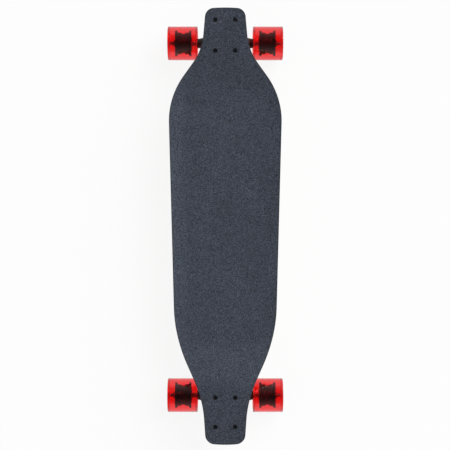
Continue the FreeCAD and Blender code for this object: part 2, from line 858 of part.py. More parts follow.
def bearing_cages(side):
    """The rings that keep the balls apart, with a pocket for each."""
    pockets = [Part.makeSphere(ball_radius + ball_pocket_clearance, place) for place in ball_places(side)]
    cages = []
    for start in bearing_starts():
        where = on_axle(side, start + bearing_width / 2 - cage_half_length)
        outer = ball_pitch_radius + cage_wall / 2
        cage = tube(where, LATERAL * side, 2 * cage_half_length, outer, outer - cage_wall)
        cages.append(cage.cut(pockets))
    return Part.makeCompound(cages)


def truck_pieces():
    """Every piece of one truck in the truck frame, apart from its wheels."""
    return {
        "riser_pad": plate(riser_thickness, riser_thickness),
        "baseplate": baseplate(),
        "pivot_cup": pivot_cup(),
        "kingpin": kingpin(),
        "kingpin_nut": kingpin_nut(),
        "board_side_bushing": board_side_bushing(),
        "road_side_bushing": road_side_bushing(),
        "bushing_washers": bushing_washers(),
        "hanger": hanger(),
        "axle": axle(),
        "axle_nuts": axle_nuts(),
        "axle_washers": axle_washers(),
        "bearing_inner_rings": bearing_inner_rings(),
        "bearing_spacers": bearing_spacers(),
    }


def wheel_pieces(side):
    """Every piece of one wheel that turns, in the truck frame."""
    return {
        "tyre": tyre(side),
        "wheel_core": wheel_core(side),
        "bearing_outer_rings": bearing_outer_rings(side),
        "bearing_shields": bearing_shields(side),
        "bearing_balls": bearing_balls(side),
        "bearing_cages": bearing_cages(side),
    }


def assembly():
    """All nodes of the board by name, each in its place."""
    nodes = {"deck": deck(), "grip_tape": grip_tape()}
    for end, place in trucks.items():
        nodes[end + "_mounting_bolts"] = mounting_bolts(mounts[end])
        nodes[end + "_mounting_nuts"] = mounting_nuts(mounts[end])
        for name, shape in truck_pieces().items():
            nodes[end + "_" + name] = placed(shape, place)
        for hand, across in (("left", -1), ("right", 1)):
            side = -across if end == "front" else across
            for name, shape in wheel_pieces(side).items():
                nodes[end + "_" + hand + "_" + name] = placed(shape, place)
    return nodes


os.makedirs("parts", exist_ok=True)
for node, shape in assembly().items():
    shape.exportStep("parts/" + node + ".step")
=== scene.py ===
"""Finish of the longboard: deck and grip, cast trucks, clear wheels and their hardware, on a plain stage."""
import bisect
import json
import math

import bmesh
import bpy
from bpy.props import FloatProperty, FloatVectorProperty, IntProperty, PointerProperty
from mathutils import Matrix, Vector
from mathutils.geometry import delaunay_2d_cdt
from mathutils.kdtree import KDTree


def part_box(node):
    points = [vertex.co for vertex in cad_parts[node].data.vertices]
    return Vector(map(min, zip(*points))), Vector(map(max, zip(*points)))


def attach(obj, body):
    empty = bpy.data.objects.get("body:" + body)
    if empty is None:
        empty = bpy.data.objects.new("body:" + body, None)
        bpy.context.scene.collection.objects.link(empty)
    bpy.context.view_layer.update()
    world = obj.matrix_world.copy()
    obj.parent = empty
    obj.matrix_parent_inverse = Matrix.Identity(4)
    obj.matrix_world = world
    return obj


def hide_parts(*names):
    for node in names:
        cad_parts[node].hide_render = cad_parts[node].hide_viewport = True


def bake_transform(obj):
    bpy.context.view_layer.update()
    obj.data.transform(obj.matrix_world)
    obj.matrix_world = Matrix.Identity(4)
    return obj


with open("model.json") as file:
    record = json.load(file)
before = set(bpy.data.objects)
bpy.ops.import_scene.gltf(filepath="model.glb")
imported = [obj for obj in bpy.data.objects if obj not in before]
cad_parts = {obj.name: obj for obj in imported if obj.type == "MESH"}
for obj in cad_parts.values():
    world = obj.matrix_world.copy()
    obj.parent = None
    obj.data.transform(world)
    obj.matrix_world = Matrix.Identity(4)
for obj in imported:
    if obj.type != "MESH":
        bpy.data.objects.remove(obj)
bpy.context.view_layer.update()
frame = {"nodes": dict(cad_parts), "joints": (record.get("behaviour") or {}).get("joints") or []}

bl_info = {
    "name": "Longboard finish",
    "version": (1, 0, 0),
    "blender": (4, 5, 0),
    "location": "View3D > Sidebar > Longboard",
    "description": "Dresses the solids of a longboard with its finished surfaces",
    "category": "Object",
}

MM = 0.001
ENDS = ("front", "rear")
HANDS = {"left": -1, "right": 1}
LATERAL = Vector((1, 0, 0))
UP = Vector((0, 0, 1))

# Sides of turned pieces
SIDES = 64
SMALL_SIDES = 48
CORE_SIDES = 96
TYRE_SIDES = 160

# Steps along the deck's plan and its bends, and how often a ply's place on a bend is searched
PLAN_ARC_STEP = 2.5 * MM
PLAN_RUN_STEP = 4 * MM
BEND_STEP = 0.5 * MM
PRESS_STEPS = 4

# Grid of the deck's faces, its least distance from a border, and the mode and tolerance of its triangles
PLATE_GRID = 6 * MM
BORDER_GAP = PLATE_GRID * 0.6
INSIDE_ONLY = 1
SAME_POINT = 1e-9

# Distances in metres at which corners merge, and the bend that counts as flat
WELD = 1e-7
SOLID_WELD = 1e-6
FLAT_WITHIN = math.radians(0.5)

# Angles from which an edge shows sharp, or is eased
SHARP = math.radians(40)
CORE_SHARP = math.radians(30)
EASED_SHARP = math.radians(50)
EASED_FROM = math.radians(35)

# Round faces of a nut and of a kingpin's head as shares of their flats, and the slope of a nut's chamfer
NUT_FACE = 0.97
HEAD_FACE = 0.95
NUT_CHAMFER = math.radians(30)

# Room round rods in their holes, and the distance past its collar from which a hanger's end is bare
AXLE_FIT = 0.03 * MM
KINGPIN_FIT = 0.1 * MM
BARE_FROM = 0.4 * MM

# Thread pitches, and a thread's depth as a share of its pitch
BOLT_PITCH = 1.0 * MM
KINGPIN_PITCH = 1.25 * MM
AXLE_PITCH = 1.06 * MM
THREAD_DEPTH = 0.54

# Between which values most of a noise lies, also as a Map Range node takes them
LOW, HIGH = 0.3, 0.7
NOISE = {1: LOW, 2: HIGH}

# What bare metal sets on its shader, and the kinds of a pattern's inputs by the type of their values
METAL = {"Metallic": 1.0}
SOCKET_KINDS = {int: "Int", float: "Float"}

# Half the floor in metres, how much of its white shows by itself, and the surround's strengths
FLOOR_HALF = 6
FLOOR_GLOW = 0.92
SKY_RIM, SKY_TOP = 0.75, 0.06

# The lamp and the camera
LAMP_STRENGTH = 3.6
LAMP_BREADTH = math.radians(50)
LAMP_TOWARDS = Vector((0.5, 0.5, 0.55))
SENSOR_MM, LENS_MM = 36, 83.7
CAMERA_PLACE = (-0.0006, 0.0047, 2.292)


def linear(code):
    """An sRGB hex colour as linear red, green, blue and full alpha."""
    channels = [int(code[i:i + 2], 16) / 255 for i in (0, 2, 4)]
    return [c / 12.92 if c <= 0.04045 else ((c + 0.055) / 1.055) ** 2.4 for c in channels] + [1.0]


def length(name, description, millimetres):
    """A size for the sidebar, written in millimetres."""
    return FloatProperty(
        name=name, description=description, default=millimetres * MM, unit="LENGTH", precision=5
    )


def angle(name, description, degrees):
    """An angle for the sidebar, written in degrees."""
    return FloatProperty(
        name=name, description=description, default=math.radians(degrees), subtype="ANGLE"
    )


def count(name, description, number, least):
    """A whole number for the sidebar."""
    return IntProperty(name=name, description=description, default=number, min=least, subtype="UNSIGNED")


def colour(name, description, code):
    """A colour for the sidebar, written as sRGB hex."""
    return FloatVectorProperty(
        name=name, description=description, default=linear(code), subtype="COLOR", size=4, min=0, max=1
    )


class DeckSizes(bpy.types.PropertyGroup):
    """The deck's plan, its press and the sheet of grip on it."""

    length: length("Length", "Nose to tail", 914.4)
    nose_half_width: length("Nose half width", "Half the blunt nose", 40.9)
    nose_bow: length("Nose bow", "How far the nose's end bows out", 2.4)
    nose_tip_radius: length("Nose tip radius", "Arc across the nose", 350)
    nose_corner_radius: length("Nose corner radius", "Round of the nose's corners", 19)
    front_neck_half_width: length("Front neck half width", "At the narrow part by the front wheels", 48.8)
    front_neck_from_nose: length("Front neck station", "From the nose", 86.4)
    front_neck_radius: length("Front neck radius", "Hollow curve of the front neck", 110)
    front_shoulder_half_width: length("Front shoulder half width", "At the widest part", 119.7)
    front_shoulder_from_nose: length("Front shoulder station", "From the nose", 183)
    front_shoulder_radius: length("Front shoulder radius", "Round of the front shoulder", 161)
    rear_shoulder_half_width: length("Rear shoulder half width", "Where the rear taper starts", 106.4)
    rear_shoulder_from_tail: length("Rear shoulder station", "From the tail", 225.4)
    rear_shoulder_radius: length("Rear shoulder radius", "Round of the rear shoulder", 303)
    rear_neck_half_width: length("Rear neck half width", "At the narrow part by the rear wheels", 47.3)
    rear_neck_from_tail: length("Rear neck station", "From the tail", 99.6)
    rear_neck_radius: length("Rear neck radius", "Hollow curve of the rear neck", 242)
    tail_half_width: length("Tail half width", "Half the blunt tail", 41.1)
    tail_bow: length("Tail bow", "How far the tail's end bows out", 2.8)
    tail_tip_radius: length("Tail tip radius", "Arc across the tail", 280)
    tail_corner_radius: length("Tail corner radius", "Round of the tail's corners", 21)
    thickness: length("Thickness", "Of the laminate", 11)
    ply: length("Ply", "Thickness of one veneer", 1.375)
    top_round: length("Top round", "Round of the upper edge", 0.8)
    bottom_round: length("Bottom round", "Round of the lower edge", 3)
    platform_drop: length("Drop", "Platform below the front mount", 16.4)
    nose_bend_radius: length("Nose bend radius", "Bend from platform to nose", 400)
    crest_past_mount: length("Crest station", "From the rear mount to the crest", 56.5)
    crest_radius: length("Crest radius", "Round of the crest by the rear mount", 60)
    ramp_angle: angle("Ramp angle", "Slope from the crest to the platform", 14)
    ramp_foot_radius: length("Ramp foot radius", "Bend where the ramp meets the platform", 150)
    rail_flat_half_width: length("Flat half width", "Half the flat between the raised rails", 72)
    rail_radius: length("Rail radius", "Curve of the raised rails", 150)
    grip_thickness: length("Grip thickness", "Of the gritted sheet", 0.9)
    grip_inset: length("Grip inset", "From the plan's edge to the sheet", 0.35)
    grip_filed_width: length("Filed edge", "Width of the rubbed band at the sheet's rim", 1.7)
    nose_to_mount: length("Front mount station", "From the nose", 56.1)
    tail_to_mount: length("Rear mount station", "From the tail", 70.5)
    mount_tilt: angle("Mount tilt", "Rise of the mount planes towards the nose", 8)


class HardwareSizes(bpy.types.PropertyGroup):
    """Bolts, nuts and what the trucks are clamped with."""

    bolt_across: length("Bolt spacing across", "Of the four truck bolts", 41.3)
    bolt_along: length("Bolt spacing along", "Of the four truck bolts", 63.5)
    bolt_radius: length("Bolt radius", "Of the shank", 2.4)
    bolt_head_radius: length("Bolt head radius", "Of the flat head", 4.7)
    bolt_head_land: length("Bolt head land", "Straight edge of the head", 0.8)
    bolt_socket_flats: length("Socket flats", "Across the hexagon socket", 3.2)
    bolt_socket_depth: length("Socket depth", "Of the hexagon socket", 2)
    bolt_clearance: length("Bolt clearance", "Round a bolt in its hole", 0.2)
    bolt_reach: length("Bolt reach", "Shank below the nut", 2)
    bolt_nut_flats: length("Bolt nut flats", "Across the hexagon", 9.5)
    bolt_nut_height: length("Bolt nut height", "With its collar", 5.6)
    riser_thickness: length("Riser thickness", "Of the rubber pad", 3)
    plate_thickness: length("Plate thickness", "Of the baseplate", 6)
    nut_collar: length("Nut collar", "Height of the part that holds the nylon ring", 1.6)
    kingpin_lean: angle("Kingpin lean", "From the baseplate's normal", 15)
    kingpin_radius: length("Kingpin radius", "Of the shank", 4.76)
    kingpin_flats: length("Kingpin flats", "Across the head and the nut", 14.3)
    kingpin_head: length("Kingpin head", "Height of the head", 6)
    kingpin_nut: length("Kingpin nut", "Height with its collar", 9)
    kingpin_reach: length("Kingpin reach", "Shank below the nut", 2.5)
    ring_web_half: length("Ring web half", "Half the hanger's ring between the bushings", 4.5)
    bushing_radius: length("Bushing radius", "Of the barrel", 12.5)
    bushing_bore: length("Bushing bore", "Radius of the hole", 5.1)
    board_bushing: length("Board side bushing", "Height of the barrel", 14)
    road_bushing: length("Road side bushing", "Height of the cone", 12)
    road_bushing_taper: length("Road side taper", "How much the cone narrows", 3)
    washer: length("Washer", "Thickness of a cup washer", 1.5)
    washer_lip: length("Washer lip", "Height of the cup's wall", 1.2)
    washer_clearance: length("Washer clearance", "Round the bushing", 0.3)
    hanger_stub: length("Hanger stub", "Length of the turned end inside the wheel", 16.3)
    axle_radius: length("Axle radius", "Of the rod", 3.97)
    axle_reach: length("Axle reach", "Rod outside the nut", 6.9)
    axle_nut_flats: length("Axle nut flats", "Across the hexagon", 12.7)
    axle_nut_height: length("Axle nut height", "With its collar", 8)
    axle_washer: length("Axle washer", "Thickness of a speed ring", 0.8)
    voxel: length("Casting grain", "Mesh size of the cast pieces", 0.75)
    cast_easing: count("Casting easing", "Smoothing steps", 7, least=0)


class WheelSizes(bpy.types.PropertyGroup):
    """Tyre, core and bearings."""

    edge_round: length("Edge round", "Round between tread and lip", 1.2)
    lip_width: length("Lip width", "Raised rim of the tyre's face", 5)
    lip_depth: length("Lip depth", "From the lip down to the face", 4.6)
    lip_round: length("Lip round", "Rounds of the lip's inner wall", 0.8)
    mouth_radius: length("Mouth radius", "Of the coned opening in the tyre's face", 18.4)
    mouth_round: length("Mouth round", "Round of the opening's edge", 1)
    bond: length("Bond", "How far the tyre's skin lies inside the core's", 0.05)
    core_half: length("Core half length", "Half the spool", 17.2)
    flange_radius: length("Flange radius", "Of the spool's ends", 18.3)
    flange_width: length("Flange width", "Straight edge of a flange", 4.2)
    step_radius: length("Step radius", "Between flange and waist", 15.4)
    step_half: length("Step half length", "Where the step starts", 11.2)
    waist_radius: length("Waist radius", "Of the spool's middle", 13.8)
    waist_half: length("Waist half length", "Half the waist", 3.1)
    waist_slope: length("Waist slope", "Length of the slope from step to waist", 2.1)
    flare_radius: length("Flare radius", "Of the core's flared opening", 14)
    shoulder_radius: length("Shoulder radius", "Of the bore between the bearings", 9.4)
    bearing_radius: length("Bearing radius", "Of the outer ring", 11)
    bearing_width: length("Bearing width", "Along the axle", 7)
    outer_ring_bore: length("Outer ring bore", "Radius of its land", 9.15)
    inner_ring_radius: length("Inner ring radius", "Of its land", 5.85)
    shield_gap: length("Shield gap", "Between shield and inner ring", 0.3)
    shield: length("Shield", "Thickness of a bearing cover", 0.5)
    shield_set_in: length("Shield set in", "From the bearing's face", 0.1)
    spacer: length("Spacer", "Length of the sleeve between the bearings", 10)
    spacer_radius: length("Spacer radius", "Of the sleeve", 5.25)
    ball_radius: length("Ball radius", "Of a bearing ball", 1.98)
    ball_pitch_radius: length("Ball pitch radius", "Of the circle of balls", 7.5)
    ball_count: count("Balls", "In each bearing", 7, least=3)


class FinishColours(bpy.types.PropertyGroup):
    """The colours of the board's finishes."""

    grip: colour("Grip", "Mean of the gritted sheet", "3c414b")
    maple: colour("Maple", "Lacquered veneer", "e2d2b6")
    maple_grain: colour("Maple grain", "Darker streaks in the veneer", "c9ae86")
    glue: colour("Glue line", "Between two plies", "8a6a45")
    tyre: colour("Tyre", "Clear urethane", "f2292e")
    core: colour("Core", "Moulded nylon", "19171a")
    casting: colour("Casting", "Powder coat of the trucks", "1e1d20")
    bushing: colour("Bushing", "Cast urethane", "c01722")
    black_steel: colour("Black steel", "Oxide on the truck bolts", "17181b")
    zinc: colour("Zinc", "Plated nuts and washers", "b9bcc0")
    steel: colour("Steel", "Ground and polished steel", "c3c4c7")
    aluminium: colour("Aluminium", "Turned sleeves and the hangers' ends", "dcdde0")
    axle_nut: colour("Axle nut", "Grey passivated zinc", "87898d")
    rubber: colour("Rubber", "Riser pads", "1b1b1d")
    cup: colour("Pivot cup", "Cast urethane", "26262a")
    nylon: colour("Nylon", "Ball cages", "c9b489")
    floor: colour("Floor", "Paper under the board", "fefefe")


def given(group):
    """A group of sizes, or the colours, as the sidebar has them."""
    return getattr(bpy.context.scene, "longboard_" + group)


# Materials


def feed(tree, node, inputs):
    """Fills a node's inputs, each given as a value or as the node or socket that feeds it."""
    for socket, value in inputs.items():
        if isinstance(value, bpy.types.Node):
            value = value.outputs[0]
        if isinstance(value, bpy.types.NodeSocket):
            tree.links.new(value, node.inputs[socket])
        else:
            node.inputs[socket].default_value = value


def add(tree, kind, inputs=None, stops=(), **settings):
    """Adds a node with its settings and inputs, and with its stops if it is a colour ramp."""
    node = tree.nodes.new(kind)
    for field, value in settings.items():
        setattr(node, field, value)
    feed(tree, node, inputs or {})
    for i, (place, tone) in enumerate(stops):
        node.color_ramp.elements[i].position = place
        node.color_ramp.elements[i].color = tone
    return node


def bare_tree(holder):
    """The empty node tree of a new material or world."""
    holder.use_nodes = True
    holder.node_tree.nodes.clear()
    return holder.node_tree


def per_mm(size):
    """The scale of a pattern whose marks are as large as a size in millimetres."""
    return 1 / (size * MM)


def dimmed(base, factor):
    """A colour made darker or lighter by a factor."""
    return [min(1.0, c * factor) for c in base[:3]] + [1.0]


def material(finish):
    """The material of a finish, made once and named for it.

    A finish is a function that gives the shader's plain values and the patterns that feed its sockets.
    """
    made = bpy.data.materials.get(finish.__name__)
    if made is None:
        made = bpy.data.materials.new(finish.__name__)
        tree = bare_tree(made)
        values, patterns = finish(tree, add(tree, "ShaderNodeTexCoord").outputs["Object"])
        shader = add(tree, "ShaderNodeBsdfPrincipled", values)
        feed(tree, shader, patterns)
        add(tree, "ShaderNodeOutputMaterial", {"Surface": shader})
    return made


def speckled(tree, where, name, plain=None, *, spread, mark, bump, depth, roughness):
    """An uneven tone and a fine relief on a named colour, with marks and depth in millimetres."""
    base = getattr(given("colours"), name)
    coarse = add(tree, "ShaderNodeTexNoise", {"Vector": where, "Scale": per_mm(mark * 6), "Detail": 4})
    fine = add(tree, "ShaderNodeTexNoise", {"Vector": where, "Scale": per_mm(mark), "Detail": 2})
    both = add(tree, "ShaderNodeMath", {0: coarse, 1: fine}, operation="ADD")
    half = add(tree, "ShaderNodeMath", {0: both, 1: 0.5}, operation="MULTIPLY")
    stops = [(LOW, dimmed(base, 1 - spread)), (HIGH, dimmed(base, 1 + spread))]
    tone = add(tree, "ShaderNodeValToRGB", {"Fac": half}, stops)
    rough = add(tree, "ShaderNodeMapRange", {0: coarse, **NOISE, 3: roughness - 0.05, 4: roughness + 0.08})
    relief = add(tree, "ShaderNodeBump", {"Strength": bump, "Distance": depth * MM, "Height": fine})
    patterns = {"Base Color": tone, "Roughness": rough, "Normal": relief}
    return {"Roughness": roughness, **(plain or {})}, patterns


def silicon_carbide_grip(tree, where):
    """Matt charcoal paper with grains of uneven tone and painted highlights, painted light that makes its
    raised rails a little paler, and a rubbed dark band along its cut edge.
    """
    deck, base = given("deck"), given("colours").grip
    # The real grit is 0.2 mm across: drawn at 0.7 mm, with clusters at 2.6 and 6 mm that show in a full view
    grains = add(tree, "ShaderNodeTexVoronoi", {"Vector": where, "Scale": per_mm(0.7)})
    grit = add(tree, "ShaderNodeTexNoise", {
        "Vector": where, "Scale": per_mm(2.6), "Detail": 3, "Roughness": 0.8,
    })
    clusters = add(tree, "ShaderNodeTexNoise", {"Vector": where, "Scale": per_mm(6), "Detail": 3})
    drift = add(tree, "ShaderNodeTexNoise", {"Vector": where, "Scale": per_mm(60), "Detail": 2})
    stops = [(0.36, dimmed(base, 0.3)), (0.66, dimmed(base, 1.9))]
    speckle = add(tree, "ShaderNodeValToRGB", {"Fac": grit}, stops)
    stops = [(LOW, dimmed(base, 0.7)), (HIGH, dimmed(base, 1.32))]
    patches = add(tree, "ShaderNodeValToRGB", {"Fac": clusters}, stops)
    tone = add(tree, "ShaderNodeMix", {0: 0.25, 6: speckle, 7: patches}, data_type="RGBA")
    cloudy = add(tree, "ShaderNodeMapRange", {0: drift, **NOISE, 3: 0.93, 4: 1.06})
    # Each grain is drawn brighter or darker at random: partly the grit's own tone, partly painted highlights
    # where its facets would catch the light
    grain_tone_and_painted_highlight = add(tree, "ShaderNodeSeparateColor", {0: grains.outputs["Color"]})
    grain_tone_and_painted_highlight = add(tree, "ShaderNodeMapRange", {0: grain_tone_and_painted_highlight, 3: 0.3, 4: 1.7})
    drift_and_painted_highlight = add(tree, "ShaderNodeMath", {0: cloudy, 1: grain_tone_and_painted_highlight}, operation="MULTIPLY")
    edge = add(tree, "ShaderNodeAttribute", attribute_name="from_rim").outputs["Fac"]
    rubbed = add(tree, "ShaderNodeMapRange", {0: edge, 1: 0.4, 2: deck.grip_filed_width / MM, 3: 0.5})
    # Painted light: the raised rails are drawn a little paler, standing in for the light they catch
    across = add(tree, "ShaderNodeSeparateXYZ", {0: where})
    across = add(tree, "ShaderNodeMath", {0: across}, operation="ABSOLUTE")
    painted_rail_light = add(tree, "ShaderNodeMapRange", {
        0: across, 1: deck.rail_flat_half_width, 2: deck.front_shoulder_half_width, 3: 1.0, 4: 1.14,
    })
    painted_rail_light_and_rubbed_rim = add(tree, "ShaderNodeMath", {0: painted_rail_light, 1: rubbed}, operation="MULTIPLY")
    shade = add(tree, "ShaderNodeMath", {0: drift_and_painted_highlight, 1: painted_rail_light_and_rubbed_rim}, operation="MULTIPLY")
    final = add(tree, "ShaderNodeVectorMath", {0: tone.outputs[2], "Scale": shade}, operation="SCALE")
    relief = add(tree, "ShaderNodeBump", {"Strength": 0.5, "Distance": 0.3 * MM, "Height": grains})
    rough = add(tree, "ShaderNodeMapRange", {0: grit, **NOISE, 3: 0.72, 4: 0.95})
    return {"Specular IOR Level": 0.15}, {"Base Color": final, "Roughness": rough, "Normal": relief}


def lacquered_maple_laminate(tree, where):
    """Pale plies with thin glue lines on the rim, long fine grain on the faces, under a soft lacquer."""
    colours = given("colours")
    depth = add(tree, "ShaderNodeAttribute", attribute_name="ply_depth").outputs["Fac"]
    plies = add(tree, "ShaderNodeMath", {0: depth, 1: given("deck").ply / MM}, operation="DIVIDE")
    number = add(tree, "ShaderNodeMath", {0: plies}, operation="FLOOR")
    within = add(tree, "ShaderNodeMath", {0: plies}, operation="FRACT")
    from_middle = add(tree, "ShaderNodeMath", {0: within, 1: 0.5}, operation="SUBTRACT")
    from_middle = add(tree, "ShaderNodeMath", {0: from_middle}, operation="ABSOLUTE")
    glue = add(tree, "ShaderNodeMapRange", {0: from_middle, 1: 0.42, 2: 0.49, 3: 0.0, 4: 0.75})
    ply_tone = add(tree, "ShaderNodeTexWhiteNoise", {"W": number}, noise_dimensions="1D")
    pale = add(tree, "ShaderNodeMapRange", {0: ply_tone, 3: 0.86, 4: 1.06})
    # Grain runs along the board: streaks 2.5 mm wide and 110 mm long, with pores of a third of that
    scale = [per_mm(2.5), per_mm(110), per_mm(2.5)]
    streaks = add(tree, "ShaderNodeMapping", {"Vector": where, "Scale": scale})
    grain = add(tree, "ShaderNodeTexNoise", {"Vector": streaks, "Scale": 1.0, "Detail": 5})
    pores = add(tree, "ShaderNodeTexNoise", {"Vector": streaks, "Scale": 3.2, "Detail": 3})
    stops = [(0.25, colours.maple_grain), (0.6, colours.maple)]
    wood = add(tree, "ShaderNodeValToRGB", {"Fac": grain}, stops)
    toned = add(tree, "ShaderNodeVectorMath", {0: wood, "Scale": pale}, operation="SCALE")
    lined = add(tree, "ShaderNodeMix", {0: glue, 6: toned, 7: colours.glue}, data_type="RGBA")
    # Filing the grip's edge leaves its dark dust on the top round
    dust = add(tree, "ShaderNodeMapRange", {0: depth, 1: 0.5, 2: 1.3, 3: 0.06, 4: 1.0})
    dusted = add(tree, "ShaderNodeVectorMath", {0: lined.outputs[2], "Scale": dust}, operation="SCALE")
    relief = add(tree, "ShaderNodeBump", {"Strength": 0.15, "Distance": 0.15 * MM, "Height": pores})
    rough = add(tree, "ShaderNodeMapRange", {0: pores, **NOISE, 3: 0.36, 4: 0.5})
    lacquer = {"Coat Weight": 0.5, "Coat Roughness": 0.18, "Roughness": 0.42}
    return lacquer, {"Base Color": dusted, "Roughness": rough, "Normal": relief}


def clear_red_urethane(tree, where):
    """Deep red and clear as glass, with a polished, faintly uneven skin."""
    base = given("colours").tyre
    cloud = add(tree, "ShaderNodeTexNoise", {"Vector": where, "Scale": per_mm(14), "Detail": 3})
    ripple = add(tree, "ShaderNodeTexNoise", {"Vector": where, "Scale": per_mm(9), "Detail": 1})
    tone = add(tree, "ShaderNodeValToRGB", {"Fac": cloud}, [(LOW, dimmed(base, 0.95)), (HIGH, base)])
    rough = add(tree, "ShaderNodeMapRange", {0: cloud, **NOISE, 3: 0.02, 4: 0.05})
    relief = add(tree, "ShaderNodeBump", {"Strength": 0.06, "Distance": 0.3 * MM, "Height": ripple})
    clear = {"IOR": 1.5, "Transmission Weight": 1.0, "Roughness": 0.03}
    return clear, {"Base Color": tone, "Roughness": rough, "Normal": relief}


def glass_filled_nylon(tree, where):
    """Satin black with the soft mottle of a moulding."""
    return speckled(tree, where, "core", spread=0.25, mark=1.2, bump=0.2, depth=0.08, roughness=0.42)


def powder_coated_casting(tree, where):
    """Satin black with an orange peel skin over a sand casting."""
    return speckled(tree, where, "casting", spread=0.2, mark=1.1, bump=0.35, depth=0.15, roughness=0.45)


def cast_red_urethane(tree, where):
    """Strong red, waxy, a little see-through at its edges."""
    depth = [2 * MM, 0.4 * MM, 0.4 * MM]
    wax = {"Subsurface Weight": 0.25, "Subsurface Radius": depth, "Subsurface Scale": 1.0}
    return speckled(tree, where, "bushing", wax, spread=0.08, mark=2.5, bump=0.1, depth=0.1, roughness=0.38)


def black_oxide_steel(tree, where):
    """Dark, slightly oily, worn to a satin on the edges."""
    oily = {"Metallic": 0.6}
    return speckled(
        tree, where, "black_steel", oily, spread=0.3, mark=0.8, bump=0.15, depth=0.05, roughness=0.4
    )


def zinc_plated_steel(tree, where):
    """Bright grey metal with a cloudy, passivated skin."""
    return speckled(tree, where, "zinc", METAL, spread=0.1, mark=0.9, bump=0.1, depth=0.03, roughness=0.3)


def passivated_zinc(tree, where):
    """Mid grey metal with a soft sheen."""
    return speckled(
        tree, where, "axle_nut", METAL, spread=0.12, mark=0.9, bump=0.1, depth=0.03, roughness=0.34
    )


def ground_steel(tree, where):
    """Clean mirror grey with faint grinding marks."""
    return speckled(tree, where, "steel", METAL, spread=0.06, mark=0.4, bump=0.08, depth=0.02, roughness=0.2)


def turned_aluminium(tree, where):
    """Pale satin metal with tool marks."""
    return speckled(
        tree, where, "aluminium", METAL, spread=0.08, mark=0.4, bump=0.1, depth=0.02, roughness=0.6
    )


def moulded_rubber(tree, where):
    """Dull black with a dusty bloom."""
    return speckled(tree, where, "rubber", spread=0.25, mark=1.5, bump=0.2, depth=0.1, roughness=0.72)


def black_cup_urethane(tree, where):
    """Black and waxy."""
    return speckled(tree, where, "cup", spread=0.15, mark=1.5, bump=0.1, depth=0.08, roughness=0.5)


def natural_nylon(tree, where):
    """Ivory, smooth and dull."""
    return speckled(tree, where, "nylon", spread=0.08, mark=1.0, bump=0.08, depth=0.04, roughness=0.5)


# Shapes


def rounded_points(corners, radii, arc_step, run_step, closed=True):
    """Points along straight runs joined by tangent arcs, each with its direction of travel."""
    count = len(corners)
    arcs = []
    for i, (corner, radius) in enumerate(zip(corners, radii)):
        before = (corner - corners[i - 1]).normalized()
        after = (corners[(i + 1) % count] - corner).normalized()
        if radius == 0:
            arcs.append([(corner, after)])
            continue
        turn = math.atan2(before.cross(after), before.dot(after))
        start = corner - before * (radius * math.tan(abs(turn) / 2))
        outward = Vector((before.y, -before.x)) * math.copysign(radius, turn)
        steps = max(2, math.ceil(radius * abs(turn) / arc_step))
        turns = [Matrix.Rotation(turn * k / steps, 2) for k in range(steps + 1)]
        arcs.append([(start - outward + rotation @ outward, rotation @ before) for rotation in turns])
    points = []
    for i, arc in enumerate(arcs):
        points += arc
        if not closed and i == count - 1:
            break
        run = arcs[(i + 1) % count][0][0] - arc[-1][0]
        steps = math.ceil(run.length / run_step)
        points += [(arc[-1][0] + run * (k / steps), run.normalized()) for k in range(1, steps)]
    return points


def tilted(direction):
    """A direction of the level board, turned as both mount planes are."""
    return Matrix.Rotation(given("deck").mount_tilt, 3, "X") @ Vector(direction)


def mounts():
    """The middle of each truck's bolts on the deck's top face, read from the solid deck."""
    deck = given("deck")
    normal = tilted(UP)
    near = 30 * MM
    found = {}
    for end, y in zip(ENDS, (deck.length / 2 - deck.nose_to_mount, deck.tail_to_mount - deck.length / 2)):
        corners = [vert.co for vert in frame["nodes"]["deck"].data.vertices]
        reach = max(normal.dot(co) for co in corners if abs(co.y - y) < near and abs(co.x) < near)
        found[end] = Vector((0, y, (reach - normal.y * y) / normal.z))
    return found


def deck_plan():
    """Points round the deck's plan, clockwise from the nose, each with the direction that faces inwards."""
    deck = given("deck")
    nose = deck.length / 2
    tail = -nose

    def crown(bow, half_width, radius):
        return radius * (math.hypot(1, bow / half_width) - 1)

    nose_tip = nose + crown(deck.nose_bow, deck.nose_half_width, deck.nose_tip_radius)
    tail_tip = tail - crown(deck.tail_bow, deck.tail_half_width, deck.tail_tip_radius)
    right = [
        (deck.nose_half_width, nose_tip - deck.nose_bow, deck.nose_corner_radius),
        (deck.front_neck_half_width, nose - deck.front_neck_from_nose, deck.front_neck_radius),
        (deck.front_shoulder_half_width, nose - deck.front_shoulder_from_nose, deck.front_shoulder_radius),
        (deck.rear_shoulder_half_width, tail + deck.rear_shoulder_from_tail, deck.rear_shoulder_radius),
        (deck.rear_neck_half_width, tail + deck.rear_neck_from_tail, deck.rear_neck_radius),
        (deck.tail_half_width, tail_tip + deck.tail_bow, deck.tail_corner_radius),
    ]
    left = [(-x, y, radius) for x, y, radius in reversed(right)]
    corners = [(0, nose_tip, deck.nose_tip_radius), *right, (0, tail_tip, deck.tail_tip_radius), *left]
    places = [Vector((x, y)) for x, y, radius in corners]
    points = rounded_points(places, [radius for x, y, radius in corners], PLAN_ARC_STEP, PLAN_RUN_STEP)
    return [(point, Vector((heading.y, -heading.x))) for point, heading in points]


